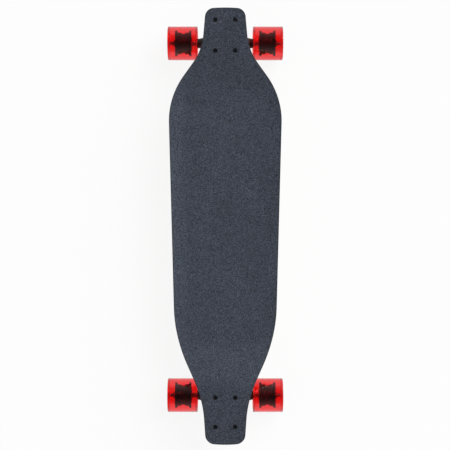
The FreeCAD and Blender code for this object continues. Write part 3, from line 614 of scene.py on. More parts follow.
class Press:
    """The mould that the deck is pressed in: its side profile and its raised rails."""

    def __init__(self):
        deck = given("deck")
        self.flat = deck.rail_flat_half_width
        self.rail_radius = deck.rail_radius
        front, rear = mounts().values()
        slope = math.tan(deck.mount_tilt)
        platform = front.z - deck.platform_drop
        crest = Vector((rear.y + deck.crest_past_mount, rear.z + deck.crest_past_mount * slope))
        corners = [
            Vector((-deck.length, rear.z + (-deck.length - rear.y) * slope)),
            crest,
            Vector((crest.x + (crest.y - platform) / math.tan(deck.ramp_angle), platform)),
            Vector((front.y - deck.platform_drop / slope, platform)),
            Vector((deck.length, front.z + (deck.length - front.y) * slope)),
        ]
        radii = [0, deck.crest_radius, deck.ramp_foot_radius, deck.nose_bend_radius, 0]
        run = rounded_points(corners, radii, BEND_STEP, deck.length, closed=False)
        self.stations = [point.x for point, heading in run]
        self.heights = [point.y for point, heading in run]
        self.slopes = [math.atan2(heading.y, heading.x) for point, heading in run]

    def profile(self, y):
        """The top face's height and slope on the centre line."""
        after = bisect.bisect_left(self.stations, y)
        low, high = self.stations[after - 1], self.stations[after]
        share = (y - low) / (high - low)
        height = self.heights[after - 1] * (1 - share) + self.heights[after] * share
        return height, self.slopes[after - 1] * (1 - share) + self.slopes[after] * share

    def point(self, plan, rise):
        """A point of a ply over a place in plan, with the ply's rise over the deck's top face."""
        out = max(abs(plan.x) - self.flat, 0)
        lift = self.rail_radius - math.sqrt((self.rail_radius - rise) ** 2 - out ** 2)
        station = plan.y
        for _ in range(PRESS_STEPS):
            height, slope = self.profile(station)
            station = plan.y + lift * math.sin(slope)
        height, slope = self.profile(station)
        return Vector((plan.x, plan.y, height + lift * math.cos(slope)))


def pressed_plate(name, attribute, rim, bore):
    """The mesh of a sheet from the press with its bolt holes, and a value kept at each of its points.

    rim: the edge's section from the top face to the bottom face, as insets from the plan, rises over the
    deck's top face and values. bore: a hole's section from top to bottom, as radii, rises and values.
    """
    press = Press()
    plan = deck_plan()
    shape = bmesh.new()
    layer = shape.verts.layers.float.new(attribute)

    def corner(place, value):
        vert = shape.verts.new(place)
        vert[layer] = value
        return vert

    def wall(loops):
        for upper, lower in zip(loops, loops[1:]):
            for i in range(len(upper)):
                shape.faces.new((upper[i - 1], upper[i], lower[i], lower[i - 1]))

    def cap(borders, rise, value):
        places = [vert for border in borders for vert in border]
        owners = [number for number, border in enumerate(borders) for _ in border]
        flat = [vert.co.xy for vert in places]
        edges, circles, start = [], [], 0
        for border in borders:
            count = len(border)
            edges += [(start + i, start + (i + 1) % count) for i in range(count)]
            middle = sum((vert.co.xy for vert in border), Vector((0, 0))) / count
            circles.append((middle, (border[0].co.xy - middle).length))
            start += count
        holes = circles[1:]
        near = KDTree(len(flat))
        for i, point in enumerate(flat):
            near.insert(point.to_3d(), i)
        near.balance()
        rows = math.floor(max(point.y for point in flat) / PLATE_GRID)
        columns = math.floor(max(point.x for point in flat) / PLATE_GRID)
        for row in range(-rows, rows + 1):
            for column in range(-columns, columns + 1):
                point = Vector(((column + row % 2 / 2) * PLATE_GRID, row * PLATE_GRID))
                bored = any((point - middle).length < radius for middle, radius in holes)
                if not bored and near.find(point.to_3d())[2] > BORDER_GAP:
                    flat.append(point)
        _, _, triangles, origins, *_ = delaunay_2d_cdt(flat, edges, [], INSIDE_ONLY, SAME_POINT)
        made = {}
        for triangle in triangles:
            corners = [origins[index][0] for index in triangle]
            on = {owners[origin] if origin < len(places) else 0 for origin in corners}
            if len(on) == 1 and on != {0}:
                continue
            verts = []
            for origin in corners:
                if origin < len(places):
                    verts.append(places[origin])
                    continue
                if origin not in made:
                    made[origin] = corner(press.point(flat[origin], rise), value)
                verts.append(made[origin])
            shape.faces.new(verts)

    edge = [
        [corner(press.point(point + inward * inset, rise), value) for point, inward in plan]
        for inset, rise, value in rim
    ]
    holes = [
        [[corner(place, value) for place in bore_ring(bolt, radius, rise)] for radius, rise, value in bore]
        for bolt in bolt_places()
    ]
    for loops in (edge, *holes):
        wall(loops)
    for side in (0, -1):
        cap([loops[side] for loops in (edge, *holes)], *rim[side][1:])
    bmesh.ops.recalc_face_normals(shape, faces=shape.faces)
    return new_mesh(name, shape, merge=False)


def rounded_rim(inset, top, bottom, top_round, bottom_round, steps=5, runs=4):
    """The section of a plate's edge from its top face to its bottom face, as insets and rises."""
    turns = [math.pi / 2 * k / steps for k in range(steps + 1)]
    straight = top - top_round - bottom - bottom_round
    upper = [(inset + top_round * (1 - math.sin(t)), top - top_round * (1 - math.cos(t))) for t in turns]
    middle = [(inset, top - top_round - straight * k / runs) for k in range(1, runs)]
    lower = [(bottom_round * (1 - math.cos(t)), bottom_round * (1 - math.sin(t))) for t in turns]
    return upper + middle + [(inset + out, bottom + rise) for out, rise in lower]


def bolt_places():
    """The eight bolt axes, as points on the deck's top face."""
    hardware = given("hardware")
    along = tilted((0, hardware.bolt_along / 2, 0))
    across = LATERAL * (hardware.bolt_across / 2)
    return [mount + along * j + across * i for mount in mounts().values() for i in (-1, 1) for j in (-1, 1)]


def bore_ring(place, radius, rise, sides=24):
    """A ring of points round a bolt's axis."""
    along = tilted((0, 1, 0))
    middle = place + tilted(UP) * rise
    turns = [math.tau * i / sides for i in range(sides)]
    return [middle + (LATERAL * math.cos(t) + along * math.sin(t)) * radius for t in turns]


def turned(shape, profile, origin, axis, sides):
    """Adds a solid of revolution: stations along the axis with radii, and flats where it is hexagonal."""
    first = UP if abs(axis.dot(LATERAL)) > 0.5 else LATERAL
    second = axis.cross(first)
    loops = []
    for station, radius, *flats in profile:
        loop = []
        for i in range(sides):
            turn = math.tau * i / sides
            reach = radius
            if flats:
                reach = min(radius, flats[0] / 2 / math.cos(turn % (math.pi / 3) - math.pi / 6))
            spoke = first * math.cos(turn) + second * math.sin(turn)
            loop.append(shape.verts.new(origin + axis * station + spoke * reach))
        loops.append(loop)
    for i, loop in enumerate(loops):
        for j in range(sides):
            shape.faces.new((loops[i - 1][j - 1], loops[i - 1][j], loop[j], loop[j - 1]))


def turned_mesh(name, parts, sides=SMALL_SIDES, sharp=SHARP):
    """The mesh of solids turned from profiles, each with its origin and axis."""
    shape = bmesh.new()
    for profile, origin, axis in parts:
        turned(shape, profile, origin, axis, sides)
    return new_mesh(name, shape, sharp)


def rounded_profile(corners, arc_step=0.25 * MM):
    """A turned profile from stations, radii and corner rounds."""
    places = [Vector((station, radius)) for station, radius, ease in corners]
    points = rounded_points(places, [ease for station, radius, ease in corners], arc_step, 1.0)
    return [tuple(point) for point, _ in points]


def ring_profile(start, end, bore, reach, eases, arc_step=0.1 * MM, end_reach=None):
    """The profile of a ring between two stations, with the eases of its bore and its rim."""
    inner, outer = eases
    return rounded_profile([
        (start, bore, inner), (start, reach, outer), (end, end_reach or reach, outer), (end, bore, inner),
    ], arc_step)


def thread(start, end, radius, pitch):
    """The crests and roots of a thread between two stations."""
    turns = round(abs(end - start) / pitch)
    step = (end - start) / turns
    root = radius - THREAD_DEPTH * pitch
    return [
        (start + step * (i + share), reach)
        for i in range(turns)
        for share, reach in ((0.1, root), (0.45, radius), (0.65, radius), (1.0, root))
    ]


def nut_profile(flats, height, bore):
    """A chamfered hexagon with a round collar that holds a nylon ring, stations from its seat."""
    corner = flats / math.sqrt(3)
    face = flats / 2 * NUT_FACE
    chamfer = (corner - face) * math.tan(NUT_CHAMFER)
    body = height - given("hardware").nut_collar
    steps = 4
    rise = [(chamfer * k / steps, face + (corner - face) * k / steps, flats) for k in range(steps + 1)]
    fall = [(body - station, radius, flats) for station, radius, flats in reversed(rise)]
    collar = flats / 2 - 0.4 * MM
    ease = 0.6 * MM
    nylon = height - 0.5 * MM
    top = [
        (body, collar), (height - ease * 1.5, collar), (height - ease * 0.4, collar - ease * 0.4),
        (height, collar - ease * 1.4), (height, bore + 0.9 * MM), (nylon, bore + 0.7 * MM), (nylon, bore),
    ]
    return [(0, bore)] + rise + fall + top


def new_mesh(name, shape, sharp=SHARP, merge=True):
    """Turns a bmesh into a mesh, smooth but for its sharp edges, with its faces outward."""
    if merge:
        bmesh.ops.remove_doubles(shape, verts=shape.verts, dist=WELD)
        bmesh.ops.recalc_face_normals(shape, faces=shape.faces)
    mesh = bpy.data.meshes.new(name)
    shape.to_mesh(mesh)
    shape.free()
    mesh.shade_smooth()
    mesh.set_sharp_from_angle(angle=sharp)
    return mesh


def new_object(name, mesh):
    """An object at the origin, linked to the scene."""
    made = bpy.data.objects.new(name, mesh)
    bpy.context.scene.collection.objects.link(made)
    return made


def evaluated_mesh(made, name):
    """What an object's modifiers make of it, as a plain mesh; the object goes."""
    graph = bpy.context.evaluated_depsgraph_get()
    mesh = bpy.data.meshes.new_from_object(made.evaluated_get(graph), depsgraph=graph)
    mesh.name = name
    bpy.data.objects.remove(made)
    return mesh


def softened(node, **modifiers):
    """A CAD node's merged mesh after modifiers, named by their kinds with their settings."""
    shape = bmesh.new()
    shape.from_mesh(frame["nodes"][node].data)
    bmesh.ops.remove_doubles(shape, verts=shape.verts, dist=SOLID_WELD)
    bmesh.ops.dissolve_limit(
        shape, angle_limit=FLAT_WITHIN, verts=shape.verts, edges=shape.edges, use_dissolve_boundaries=False
    )
    mesh = bpy.data.meshes.new(node)
    shape.to_mesh(mesh)
    shape.free()
    made = new_object(node + "_softening", mesh)
    for kind, settings in modifiers.items():
        modifier = made.modifiers.new(kind, kind)
        for field, value in settings.items():
            setattr(modifier, field, value)
    mesh = evaluated_mesh(made, node)
    mesh.shade_smooth()
    return mesh


def eased_copy(node, width):
    """A CAD node's shape with its sharp edges eased by a width in millimetres."""
    limit = {"limit_method": "ANGLE", "angle_limit": EASED_FROM, "use_clamp_overlap": True}
    mesh = softened(node, BEVEL={"width": width * MM, "segments": 2, **limit})
    mesh.set_sharp_from_angle(angle=EASED_SHARP)
    return mesh


def cast_copy(node):
    """A CAD node's shape as a sand casting has it, with every edge and inner corner softened."""
    hardware = given("hardware")
    skin = {"mode": "VOXEL", "voxel_size": hardware.voxel, "adaptivity": 0}
    return softened(node, REMESH=skin, SMOOTH={"factor": 0.5, "iterations": hardware.cast_easing})


def finished(node, mesh, finish, body):
    """Shows a mesh in place of a CAD node, riding on a body."""
    mesh.materials.clear()
    mesh.materials.append(material(finish))
    piece = new_object("finished_" + node, mesh)
    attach(piece, body)
    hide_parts(node)
    return piece


def turned_piece(node, parts, finish, body, slot, **shaping):
    """Shows turned solids in place of a CAD node."""
    finished(node, turned_mesh(node, parts, **shaping), finish, body)


# Node trees for what repeats


def bolt_pattern(tree, sizes):
    """A shape set at the four corners of a truck's bolt pattern, on its mount plane."""
    corners = add(tree, "GeometryNodeMeshGrid", {
        "Size X": sizes["Across"], "Size Y": sizes["Along"], "Vertices X": 2, "Vertices Y": 2,
    })
    items = add(tree, "GeometryNodeInstanceOnPoints", {"Points": corners, "Instance": sizes["Geometry"]})
    return add(tree, "GeometryNodeTransform", {
        "Geometry": items, "Translation": sizes["Centre"], "Rotation": sizes["Tilt"],
    })


def ball_race(tree, sizes):
    """A ball set round a circle, once in each of a wheel's two bearings."""
    circle = {"Vertices": sizes["Count"], "Radius": sizes["Pitch radius"]}
    circle = add(tree, "GeometryNodeMeshCircle", circle)
    balls = add(tree, "GeometryNodeInstanceOnPoints", {"Points": circle, "Instance": sizes["Geometry"]})
    both = add(tree, "GeometryNodeJoinGeometry")
    for name in ("Inner", "Outer"):
        race = add(tree, "GeometryNodeTransform", {
            "Geometry": balls, "Translation": sizes[name], "Rotation": sizes["Turn"],
        })
        feed(tree, both, {0: race})
    return both


def pattern_tree(pattern, sizes):
    """The tree of a pattern, made once: a shape, named sizes and a material in, real geometry out."""
    tree = bpy.data.node_groups.get(pattern.__name__)
    if tree:
        return tree
    tree = bpy.data.node_groups.new(pattern.__name__, "GeometryNodeTree")
    tree.is_modifier = True
    kinds = {label: SOCKET_KINDS.get(type(value), "Vector") for label, value in sizes.items()}
    for label, kind in {"Geometry": "Geometry", **kinds, "Material": "Material"}.items():
        tree.interface.new_socket(label, in_out="INPUT", socket_type="NodeSocket" + kind)
    tree.interface.new_socket("Geometry", in_out="OUTPUT", socket_type="NodeSocketGeometry")
    inputs = add(tree, "NodeGroupInput").outputs
    real = add(tree, "GeometryNodeRealizeInstances", {"Geometry": pattern(tree, inputs)})
    dressed = add(tree, "GeometryNodeSetMaterial", {"Geometry": real, "Material": inputs["Material"]})
    add(tree, "NodeGroupOutput", {"Geometry": dressed})
    return tree


def repeated(name, mesh, pattern, sizes, finish):
    """The mesh that a pattern makes from a shape, with the tree's inputs set by name."""
    tree = pattern_tree(pattern, sizes)
    made = new_object(name + "_pattern", mesh)
    nodes = made.modifiers.new(tree.name, "NODES")
    nodes.node_group = tree
    values = {**sizes, "Material": material(finish)}
    for item in tree.interface.items_tree:
        if item.in_out == "INPUT" and item.name in values:
            nodes[item.identifier] = values[item.name]
    return evaluated_mesh(made, name)


# Pieces


def wheel_hubs():
    """Each wheel's name with its hub's middle and the direction that faces away from the board."""
    found = {}
    for end in ENDS:
        for hand, side in HANDS.items():
            low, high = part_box(f"{end}_{hand}_wheel_core")
            found[f"{end}_{hand}"] = ((low + high) / 2, LATERAL * side)
    return found


def kingpin_axis(end):
    """A truck's ring on its kingpin, with the direction that runs down the kingpin."""
    joint = next(j for j in frame["joints"] if j["name"] == end + "_steer")
    lean = given("hardware").kingpin_lean
    down = Vector((0, math.sin(lean), -math.cos(lean)))
    if end == "front":
        down.y = -down.y
    return Vector(joint["pos_m"]), tilted(down)


class LONGBOARD_OT_deck(bpy.types.Operator):
    """Makes the pressed maple deck with its rounded rim and bolt holes"""

    bl_idname = "longboard.deck"
    bl_label = "Deck"

    def execute(self, context):
        deck, hardware = given("deck"), given("hardware")
        head = hardware.bolt_head_radius + hardware.bolt_clearance
        shank = hardware.bolt_radius + hardware.bolt_clearance
        sink = deck.grip_thickness - hardware.bolt_head_land
        cone = hardware.bolt_head_radius - hardware.bolt_radius - sink
        rim = rounded_rim(0, 0, -deck.thickness, deck.top_round, deck.bottom_round)
        bore = [(head, 0), (shank, -cone), (shank, -deck.thickness)]
        rim, bore = ([(size, rise, -rise / MM) for size, rise in section] for section in (rim, bore))
        mesh = pressed_plate("deck", "ply_depth", rim, bore)
        finished("deck", mesh, lacquered_maple_laminate, "board")
        return {"FINISHED"}


class LONGBOARD_OT_grip(bpy.types.Operator):
    """Makes the gritted sheet, filed back along its rim"""

    bl_idname = "longboard.grip"
    bl_label = "Grip tape"

    def execute(self, context):
        deck, hardware = given("deck"), given("hardware")
        head = hardware.bolt_head_radius + hardware.bolt_clearance
        inset, filed, top = deck.grip_inset, deck.grip_filed_width, deck.grip_thickness
        bands = (3.0, 2.0, 1.4, 1.0, 0.5)
        top_round, bottom_round = 0.35 * MM, 0.05 * MM
        far = 50.0
        rim = [(inset + filed * share, top, filed * share / MM) for share in bands]
        rim += [(*edge, 0) for edge in rounded_rim(inset, top, 0, top_round, bottom_round, steps=3)]
        rim += [(inset + filed, 0, filed / MM)]
        mesh = pressed_plate("grip_tape", "from_rim", rim, [(head, top, far), (head, 0, far)])
        finished("grip_tape", mesh, silicon_carbide_grip, "board")
        return {"FINISHED"}


class LONGBOARD_OT_truck_bolts(bpy.types.Operator):
    """Sets four socket headed bolts and four lock nuts at each truck"""

    bl_idname = "longboard.truck_bolts"
    bl_label = "Truck bolts and nuts"

    def bolt(self, seat):
        """One bolt, standing on the deck's top face, with its nut's seat under the baseplate."""
        hardware = given("hardware")
        top = given("deck").grip_thickness
        head, shank = hardware.bolt_head_radius, hardware.bolt_radius
        socket = hardware.bolt_socket_flats
        floor = top - hardware.bolt_socket_depth
        land = top - hardware.bolt_head_land
        tip = seat - hardware.bolt_nut_height - hardware.bolt_reach
        ease = 0.25 * MM
        profile = [
            (floor - ease, 0), (floor, socket, socket), (top - ease, socket, socket),
            (top, socket, socket + ease), (top, head - ease), (top - ease, head), (land, head),
            (land - (head - shank), shank), (seat, shank), *thread(seat, tip + ease, shank, BOLT_PITCH),
            (tip, shank - 0.8 * MM), (tip, 0),
        ]
        return turned_mesh("truck_bolt", [(profile, Vector(), UP)])

    def nut(self, seat):
        """One lock nut, hung from the deck's top face by its seat under the baseplate."""
        hardware = given("hardware")
        profile = nut_profile(hardware.bolt_nut_flats, hardware.bolt_nut_height, hardware.bolt_radius)
        return turned_mesh("truck_nut", [(profile, UP * seat, -UP)])

    def execute(self, context):
        deck, hardware = given("deck"), given("hardware")
        seat = -(deck.thickness + hardware.riser_thickness + hardware.plate_thickness)
        kinds = {
            "mounting_bolts": (self.bolt, black_oxide_steel, "black_steel"),
            "mounting_nuts": (self.nut, zinc_plated_steel, "zinc_steel"),
        }
        for end, centre in mounts().items():
            for kind, (shape, finish, slot) in kinds.items():
                node = f"{end}_{kind}"
                sizes = {
                    "Across": hardware.bolt_across, "Along": hardware.bolt_along,
                    "Tilt": (deck.mount_tilt, 0, 0), "Centre": centre,
                }
                mesh = repeated(node, shape(seat), bolt_pattern, sizes, finish)
                finished(node, mesh, finish, "board")
        return {"FINISHED"}


class LONGBOARD_OT_castings(bpy.types.Operator):
    """Makes the baseplates and hangers as powder coated castings, the hangers' turned ends bare"""

    bl_idname = "longboard.castings"
    bl_label = "Castings"

    def execute(self, context):
        for end in ENDS:
            base, hanger = end + "_baseplate", end + "_hanger"
            skin, slot = powder_coated_casting, "black_casting"
            finished(base, cast_copy(base), skin, "board")
            piece = finished(hanger, cast_copy(hanger), skin, end + "_hanger_set")
            piece.data.materials.append(material(turned_aluminium))
            collar_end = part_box(hanger)[1].x - given("hardware").hanger_stub
            for face in piece.data.polygons:
                if abs(face.center.x) > collar_end + BARE_FROM:
                    face.material_index = 1
        return {"FINISHED"}


class LONGBOARD_OT_pads(bpy.types.Operator):
    """Makes the riser pads and pivot cups with eased edges"""

    bl_idname = "longboard.pads"
    bl_label = "Riser pads and pivot cups"

    def execute(self, context):
        for end in ENDS:
            pad, cup = end + "_riser_pad", end + "_pivot_cup"
            finished(pad, eased_copy(pad, 0.5), moulded_rubber, "board")
            finished(cup, eased_copy(cup, 0.3), black_cup_urethane, "board")
        return {"FINISHED"}


class LONGBOARD_OT_kingpins(bpy.types.Operator):
    """Makes each kingpin with its nut, its two bushings and their cup washers"""

    bl_idname = "longboard.kingpins"
    bl_label = "Kingpins and bushings"

    def bushing(self, end, node, profile, fixed, moving):
        """A turned bushing round the kingpin, at its place at rest."""
        ring, down = kingpin_axis(end)
        piece = new_object("finished_" + node, turned_mesh(node, [(profile, ring, down)], SIDES))
        piece.data.materials.append(material(cast_red_urethane))
        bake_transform(piece)
        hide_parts(node)

    def cup_washer(self, held):
        """A pressed washer with a lip round the end of a bushing of a given radius."""
        hardware = given("hardware")
        thick = hardware.washer
        inner = held + hardware.washer_clearance
        outer = inner + thick
        lip = thick + hardware.washer_lip
        bore = hardware.kingpin_radius + KINGPIN_FIT
        ease = 0.3 * MM
        return rounded_profile([
            (0, bore, 0), (0, outer, 1.2 * MM), (lip, outer, ease), (lip, inner, ease),
            (thick, inner, ease), (thick, bore, 0),
        ])

    def kingpin(self, top, nut_seat):
        """A hexagon head let into the baseplate and a threaded end."""
        hardware = given("hardware")
        under = top + hardware.kingpin_head
        tip = nut_seat + hardware.kingpin_nut + hardware.kingpin_reach
        flats, radius = hardware.kingpin_flats, hardware.kingpin_radius
        corner = flats / math.sqrt(3)
        ease = 0.6 * MM
        return [
            (top, 0), (top, flats / 2 * HEAD_FACE), (top + ease, corner, flats), (under, corner, flats),
            (under, radius), (nut_seat, radius), *thread(nut_seat, tip - ease, radius, KINGPIN_PITCH),
            (tip, radius - 1.2 * MM), (tip, 0),
        ]

    def execute(self, context):
        hardware = given("hardware")
        web, bore, wide = hardware.ring_web_half, hardware.bushing_bore, hardware.bushing_radius
        narrow = wide - hardware.road_bushing_taper
        held = narrow + hardware.road_bushing_taper * hardware.washer_lip / hardware.road_bushing
        upper, lower = -(web + hardware.board_bushing), web + hardware.road_bushing
        nut_seat = lower + hardware.washer
        eases = (0.4 * MM, 0.8 * MM)
        barrel = ring_profile(upper, -web, bore, wide, eases, 0.25 * MM)
        cone = ring_profile(web, lower, bore, wide, eases, 0.25 * MM, end_reach=narrow)
        nut = nut_profile(hardware.kingpin_flats, hardware.kingpin_nut, hardware.kingpin_radius + KINGPIN_FIT)
        for end in ENDS:
            ring, down = kingpin_axis(end)
            self.bushing(end, end + "_board_side_bushing", barrel, upper, -web)
            self.bushing(end, end + "_road_side_bushing", cone, lower, web)
            pin = frame["nodes"][end + "_kingpin"].data
            top = min(down.dot(vert.co - ring) for vert in pin.vertices)
            washers = [
                (self.cup_washer(wide), ring + down * (upper - hardware.washer), down),
                (self.cup_washer(held), ring + down * nut_seat, -down),
            ]
            for name, parts, sides in (
                ("bushing_washers", washers, SIDES),
                ("kingpin_nut", [(nut, ring + down * nut_seat, down)], SMALL_SIDES),
                ("kingpin", [(self.kingpin(top, nut_seat), ring, down)], SMALL_SIDES),
            ):
                turned_piece(f"{end}_{name}", parts, zinc_plated_steel, "board", "zinc_steel", sides=sides)
        return {"FINISHED"}


class LONGBOARD_OT_axles(bpy.types.Operator):
    """Makes the axles with their threads, nuts and speed rings"""

    bl_idname = "longboard.axles"
    bl_label = "Axles, nuts and washers"

    def execute(self, context):
        hardware, wheels = given("hardware"), given("wheels")
        radius, thin = hardware.axle_radius, hardware.axle_washer
        bore = radius + AXLE_FIT
        stack = wheels.spacer / 2 + wheels.bearing_width
        ease = 1.0 * MM
        nut = nut_profile(hardware.axle_nut_flats, hardware.axle_nut_height, bore)
        washer = ring_profile(0, thin, bore, wheels.inner_ring_radius - 0.2 * MM, (0, 0.2 * MM))
        outs = [LATERAL * side for side in HANDS.values()]
        for end in ENDS:
            hub = wheel_hubs()[end + "_right"][0]
            middle = Vector((0, hub.y, hub.z))
            nut_seat = hub.x + stack + thin
            tip = nut_seat + hardware.axle_nut_height + hardware.axle_reach
            half = [
                (nut_seat, radius), *thread(nut_seat, tip - ease, radius, AXLE_PITCH),
                (tip, radius - ease), (tip, 0),
            ]
            rod = [(-station, reach) for station, reach in reversed(half)] + half
            seats = (hub.x - stack - thin, hub.x + stack)
            nuts = [(nut, middle + out * nut_seat, out) for out in outs]
            washers = [(washer, middle + out * seat, out) for out in outs for seat in seats]
            body = end + "_hanger_set"
            turned_piece(end + "_axle", [(rod, middle, LATERAL)], ground_steel, body, "axle_steel")
            turned_piece(end + "_axle_nuts", nuts, passivated_zinc, body, "zinc_steel")
            turned_piece(end + "_axle_washers", washers, zinc_plated_steel, body, "zinc_steel")
        return {"FINISHED"}


class LONGBOARD_OT_bearings(bpy.types.Operator):
    """Makes the ball bearings: rings, shields, balls and spacers; the cages take their finish"""

    bl_idname = "longboard.bearings"
    bl_label = "Bearings"

    def stationary(self, end):
        """The inner rings and the sleeves between them, which stay with the axle."""
        wheels = given("wheels")
        bore = given("hardware").axle_radius + AXLE_FIT
        eases = (0.25 * MM, 0.25 * MM)
        half = wheels.spacer / 2
        ring = ring_profile(half, half + wheels.bearing_width, bore, wheels.inner_ring_radius, eases)
        sleeve = ring_profile(-half, half, bore, wheels.spacer_radius, eases)
        hubs = [wheel_hubs()[f"{end}_{hand}"] for hand in HANDS]
        rings = [(ring, hub, axis) for hub, out in hubs for axis in (out, -out)]
        sleeves = [(sleeve, hub, out) for hub, out in hubs]
        body = end + "_hanger_set"
        turned_piece(end + "_bearing_inner_rings", rings, ground_steel, body, "bearing_steel")
        turned_piece(end + "_bearing_spacers", sleeves, turned_aluminium, body, "spacer_aluminium")

    def turning(self, wheel, hub, out):
        """The outer rings and their pressed shields, which turn with the wheel."""
        wheels = given("wheels")
        near = wheels.spacer / 2
        far = near + wheels.bearing_width
        ring = ring_profile(near, far, wheels.outer_ring_bore, wheels.bearing_radius, (0.3 * MM, 0.3 * MM))
        inner = wheels.inner_ring_radius + wheels.shield_gap
        outer = wheels.outer_ring_bore
        face = wheels.shield_set_in
        back = face + wheels.shield
        dent = face + 0.25 * MM
        shield = [
            (back, inner), (dent, inner), (dent, inner + 0.5 * MM), (face, inner + 0.9 * MM),
            (face, outer - 0.9 * MM), (dent, outer - 0.6 * MM), (dent, outer), (back, outer),
        ]
        rings, shields = [], []
        for axis in (out, -out):
            rings += [(ring, hub, axis)]
            shields += [(shield, hub + axis * far, -axis), (shield, hub + axis * near, axis)]
        body = wheel + "_wheel"
        turned_piece(wheel + "_bearing_outer_rings", rings, ground_steel, body, "bearing_steel", sides=SIDES)
        turned_piece(wheel + "_bearing_shields", shields, ground_steel, body, "shield_steel", sides=SIDES)

    def rolling(self, wheel, hub, out):
        """The balls of both bearings, and the cages that carry them."""
        wheels = given("wheels")
        ball = bmesh.new()
        bmesh.ops.create_icosphere(ball, subdivisions=3, radius=wheels.ball_radius)
        middle = wheels.spacer / 2 + wheels.bearing_width / 2
        sizes = {
            "Count": wheels.ball_count, "Pitch radius": wheels.ball_pitch_radius,
            "Inner": hub - out * middle, "Outer": hub + out * middle, "Turn": (0, math.pi / 2, 0),
        }
        node = wheel + "_bearing_balls"
        mesh = repeated(node, new_mesh("ball", ball), ball_race, sizes, ground_steel)
        finished(node, mesh, ground_steel, wheel + "_ball_set")
        cages = frame["nodes"][wheel + "_bearing_cages"].data
        cages.materials.clear()
        cages.materials.append(material(natural_nylon))

    def execute(self, context):
        for end in ENDS:
            self.stationary(end)
        for wheel, (hub, out) in wheel_hubs().items():
            self.turning(wheel, hub, out)
            self.rolling(wheel, hub, out)
        return {"FINISHED"}


class LONGBOARD_OT_wheels(bpy.types.Operator):
    """Makes the clear tyres and the black cores inside them"""

    bl_idname = "longboard.wheels"
    bl_label = "Wheels"

    def core_outside(self, inset):
        """The spool's outer profile, outboard end first, a little inside the core where asked."""
        wheels = given("wheels")
        flange, step = wheels.flange_radius - inset, wheels.step_radius - inset
        half = [
            (wheels.core_half, flange),
            (wheels.core_half - wheels.flange_width + inset, flange),
            (wheels.step_half + inset, step),
            (wheels.waist_half + wheels.waist_slope + inset, step),
            (wheels.waist_half + inset, wheels.waist_radius - inset),
        ]
        return half + [(-station, radius) for station, radius in reversed(half)]

    def core_inside(self):
        """The bearing seats and flared mouths, inboard end first."""
        wheels = given("wheels")
        half = [
            (wheels.spacer / 2, wheels.shoulder_radius),
            (wheels.spacer / 2, wheels.bearing_radius),
            (wheels.spacer / 2 + wheels.bearing_width, wheels.bearing_radius),
            (wheels.core_half, wheels.flare_radius),
        ]
        return [(-station, radius) for station, radius in reversed(half)] + half

    def face(self, end, lip_foot, radius):
        """One face of the tyre from its mouth over the raised lip to the tread."""
        wheels = given("wheels")
        lip = radius - wheels.lip_width
        return [
            (lip_foot, wheels.mouth_radius, wheels.mouth_round), (lip_foot, lip, wheels.lip_round),
            (end, lip, wheels.lip_round), (end, radius, wheels.edge_round),
        ]

    def execute(self, context):
        wheels = given("wheels")
        core = self.core_outside(0) + self.core_inside()
        bonded = [(*place, 0) for place in reversed(self.core_outside(wheels.bond))]
        for wheel, (hub, out) in wheel_hubs().items():
            low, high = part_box(wheel + "_tyre")
            radius = (high.z - low.z) / 2
            inboard, outboard = sorted(((low - hub).dot(out), (high - hub).dot(out)))
            outer = self.face(outboard, outboard - wheels.lip_depth, radius)
            inner = self.face(inboard, inboard + wheels.lip_depth, radius)
            tyre = [(rounded_profile([*outer, *reversed(inner), *bonded]), hub, out)]
            spool = [(core, hub, out)]
            body = wheel + "_wheel"
            turned_piece(wheel + "_tyre", tyre, clear_red_urethane, body, "red_tyre", sides=TYRE_SIDES)
            turned_piece(
                wheel + "_wheel_core", spool, glass_filled_nylon, body, "black_core",
                sides=CORE_SIDES, sharp=CORE_SHARP,
            )
        return {"FINISHED"}


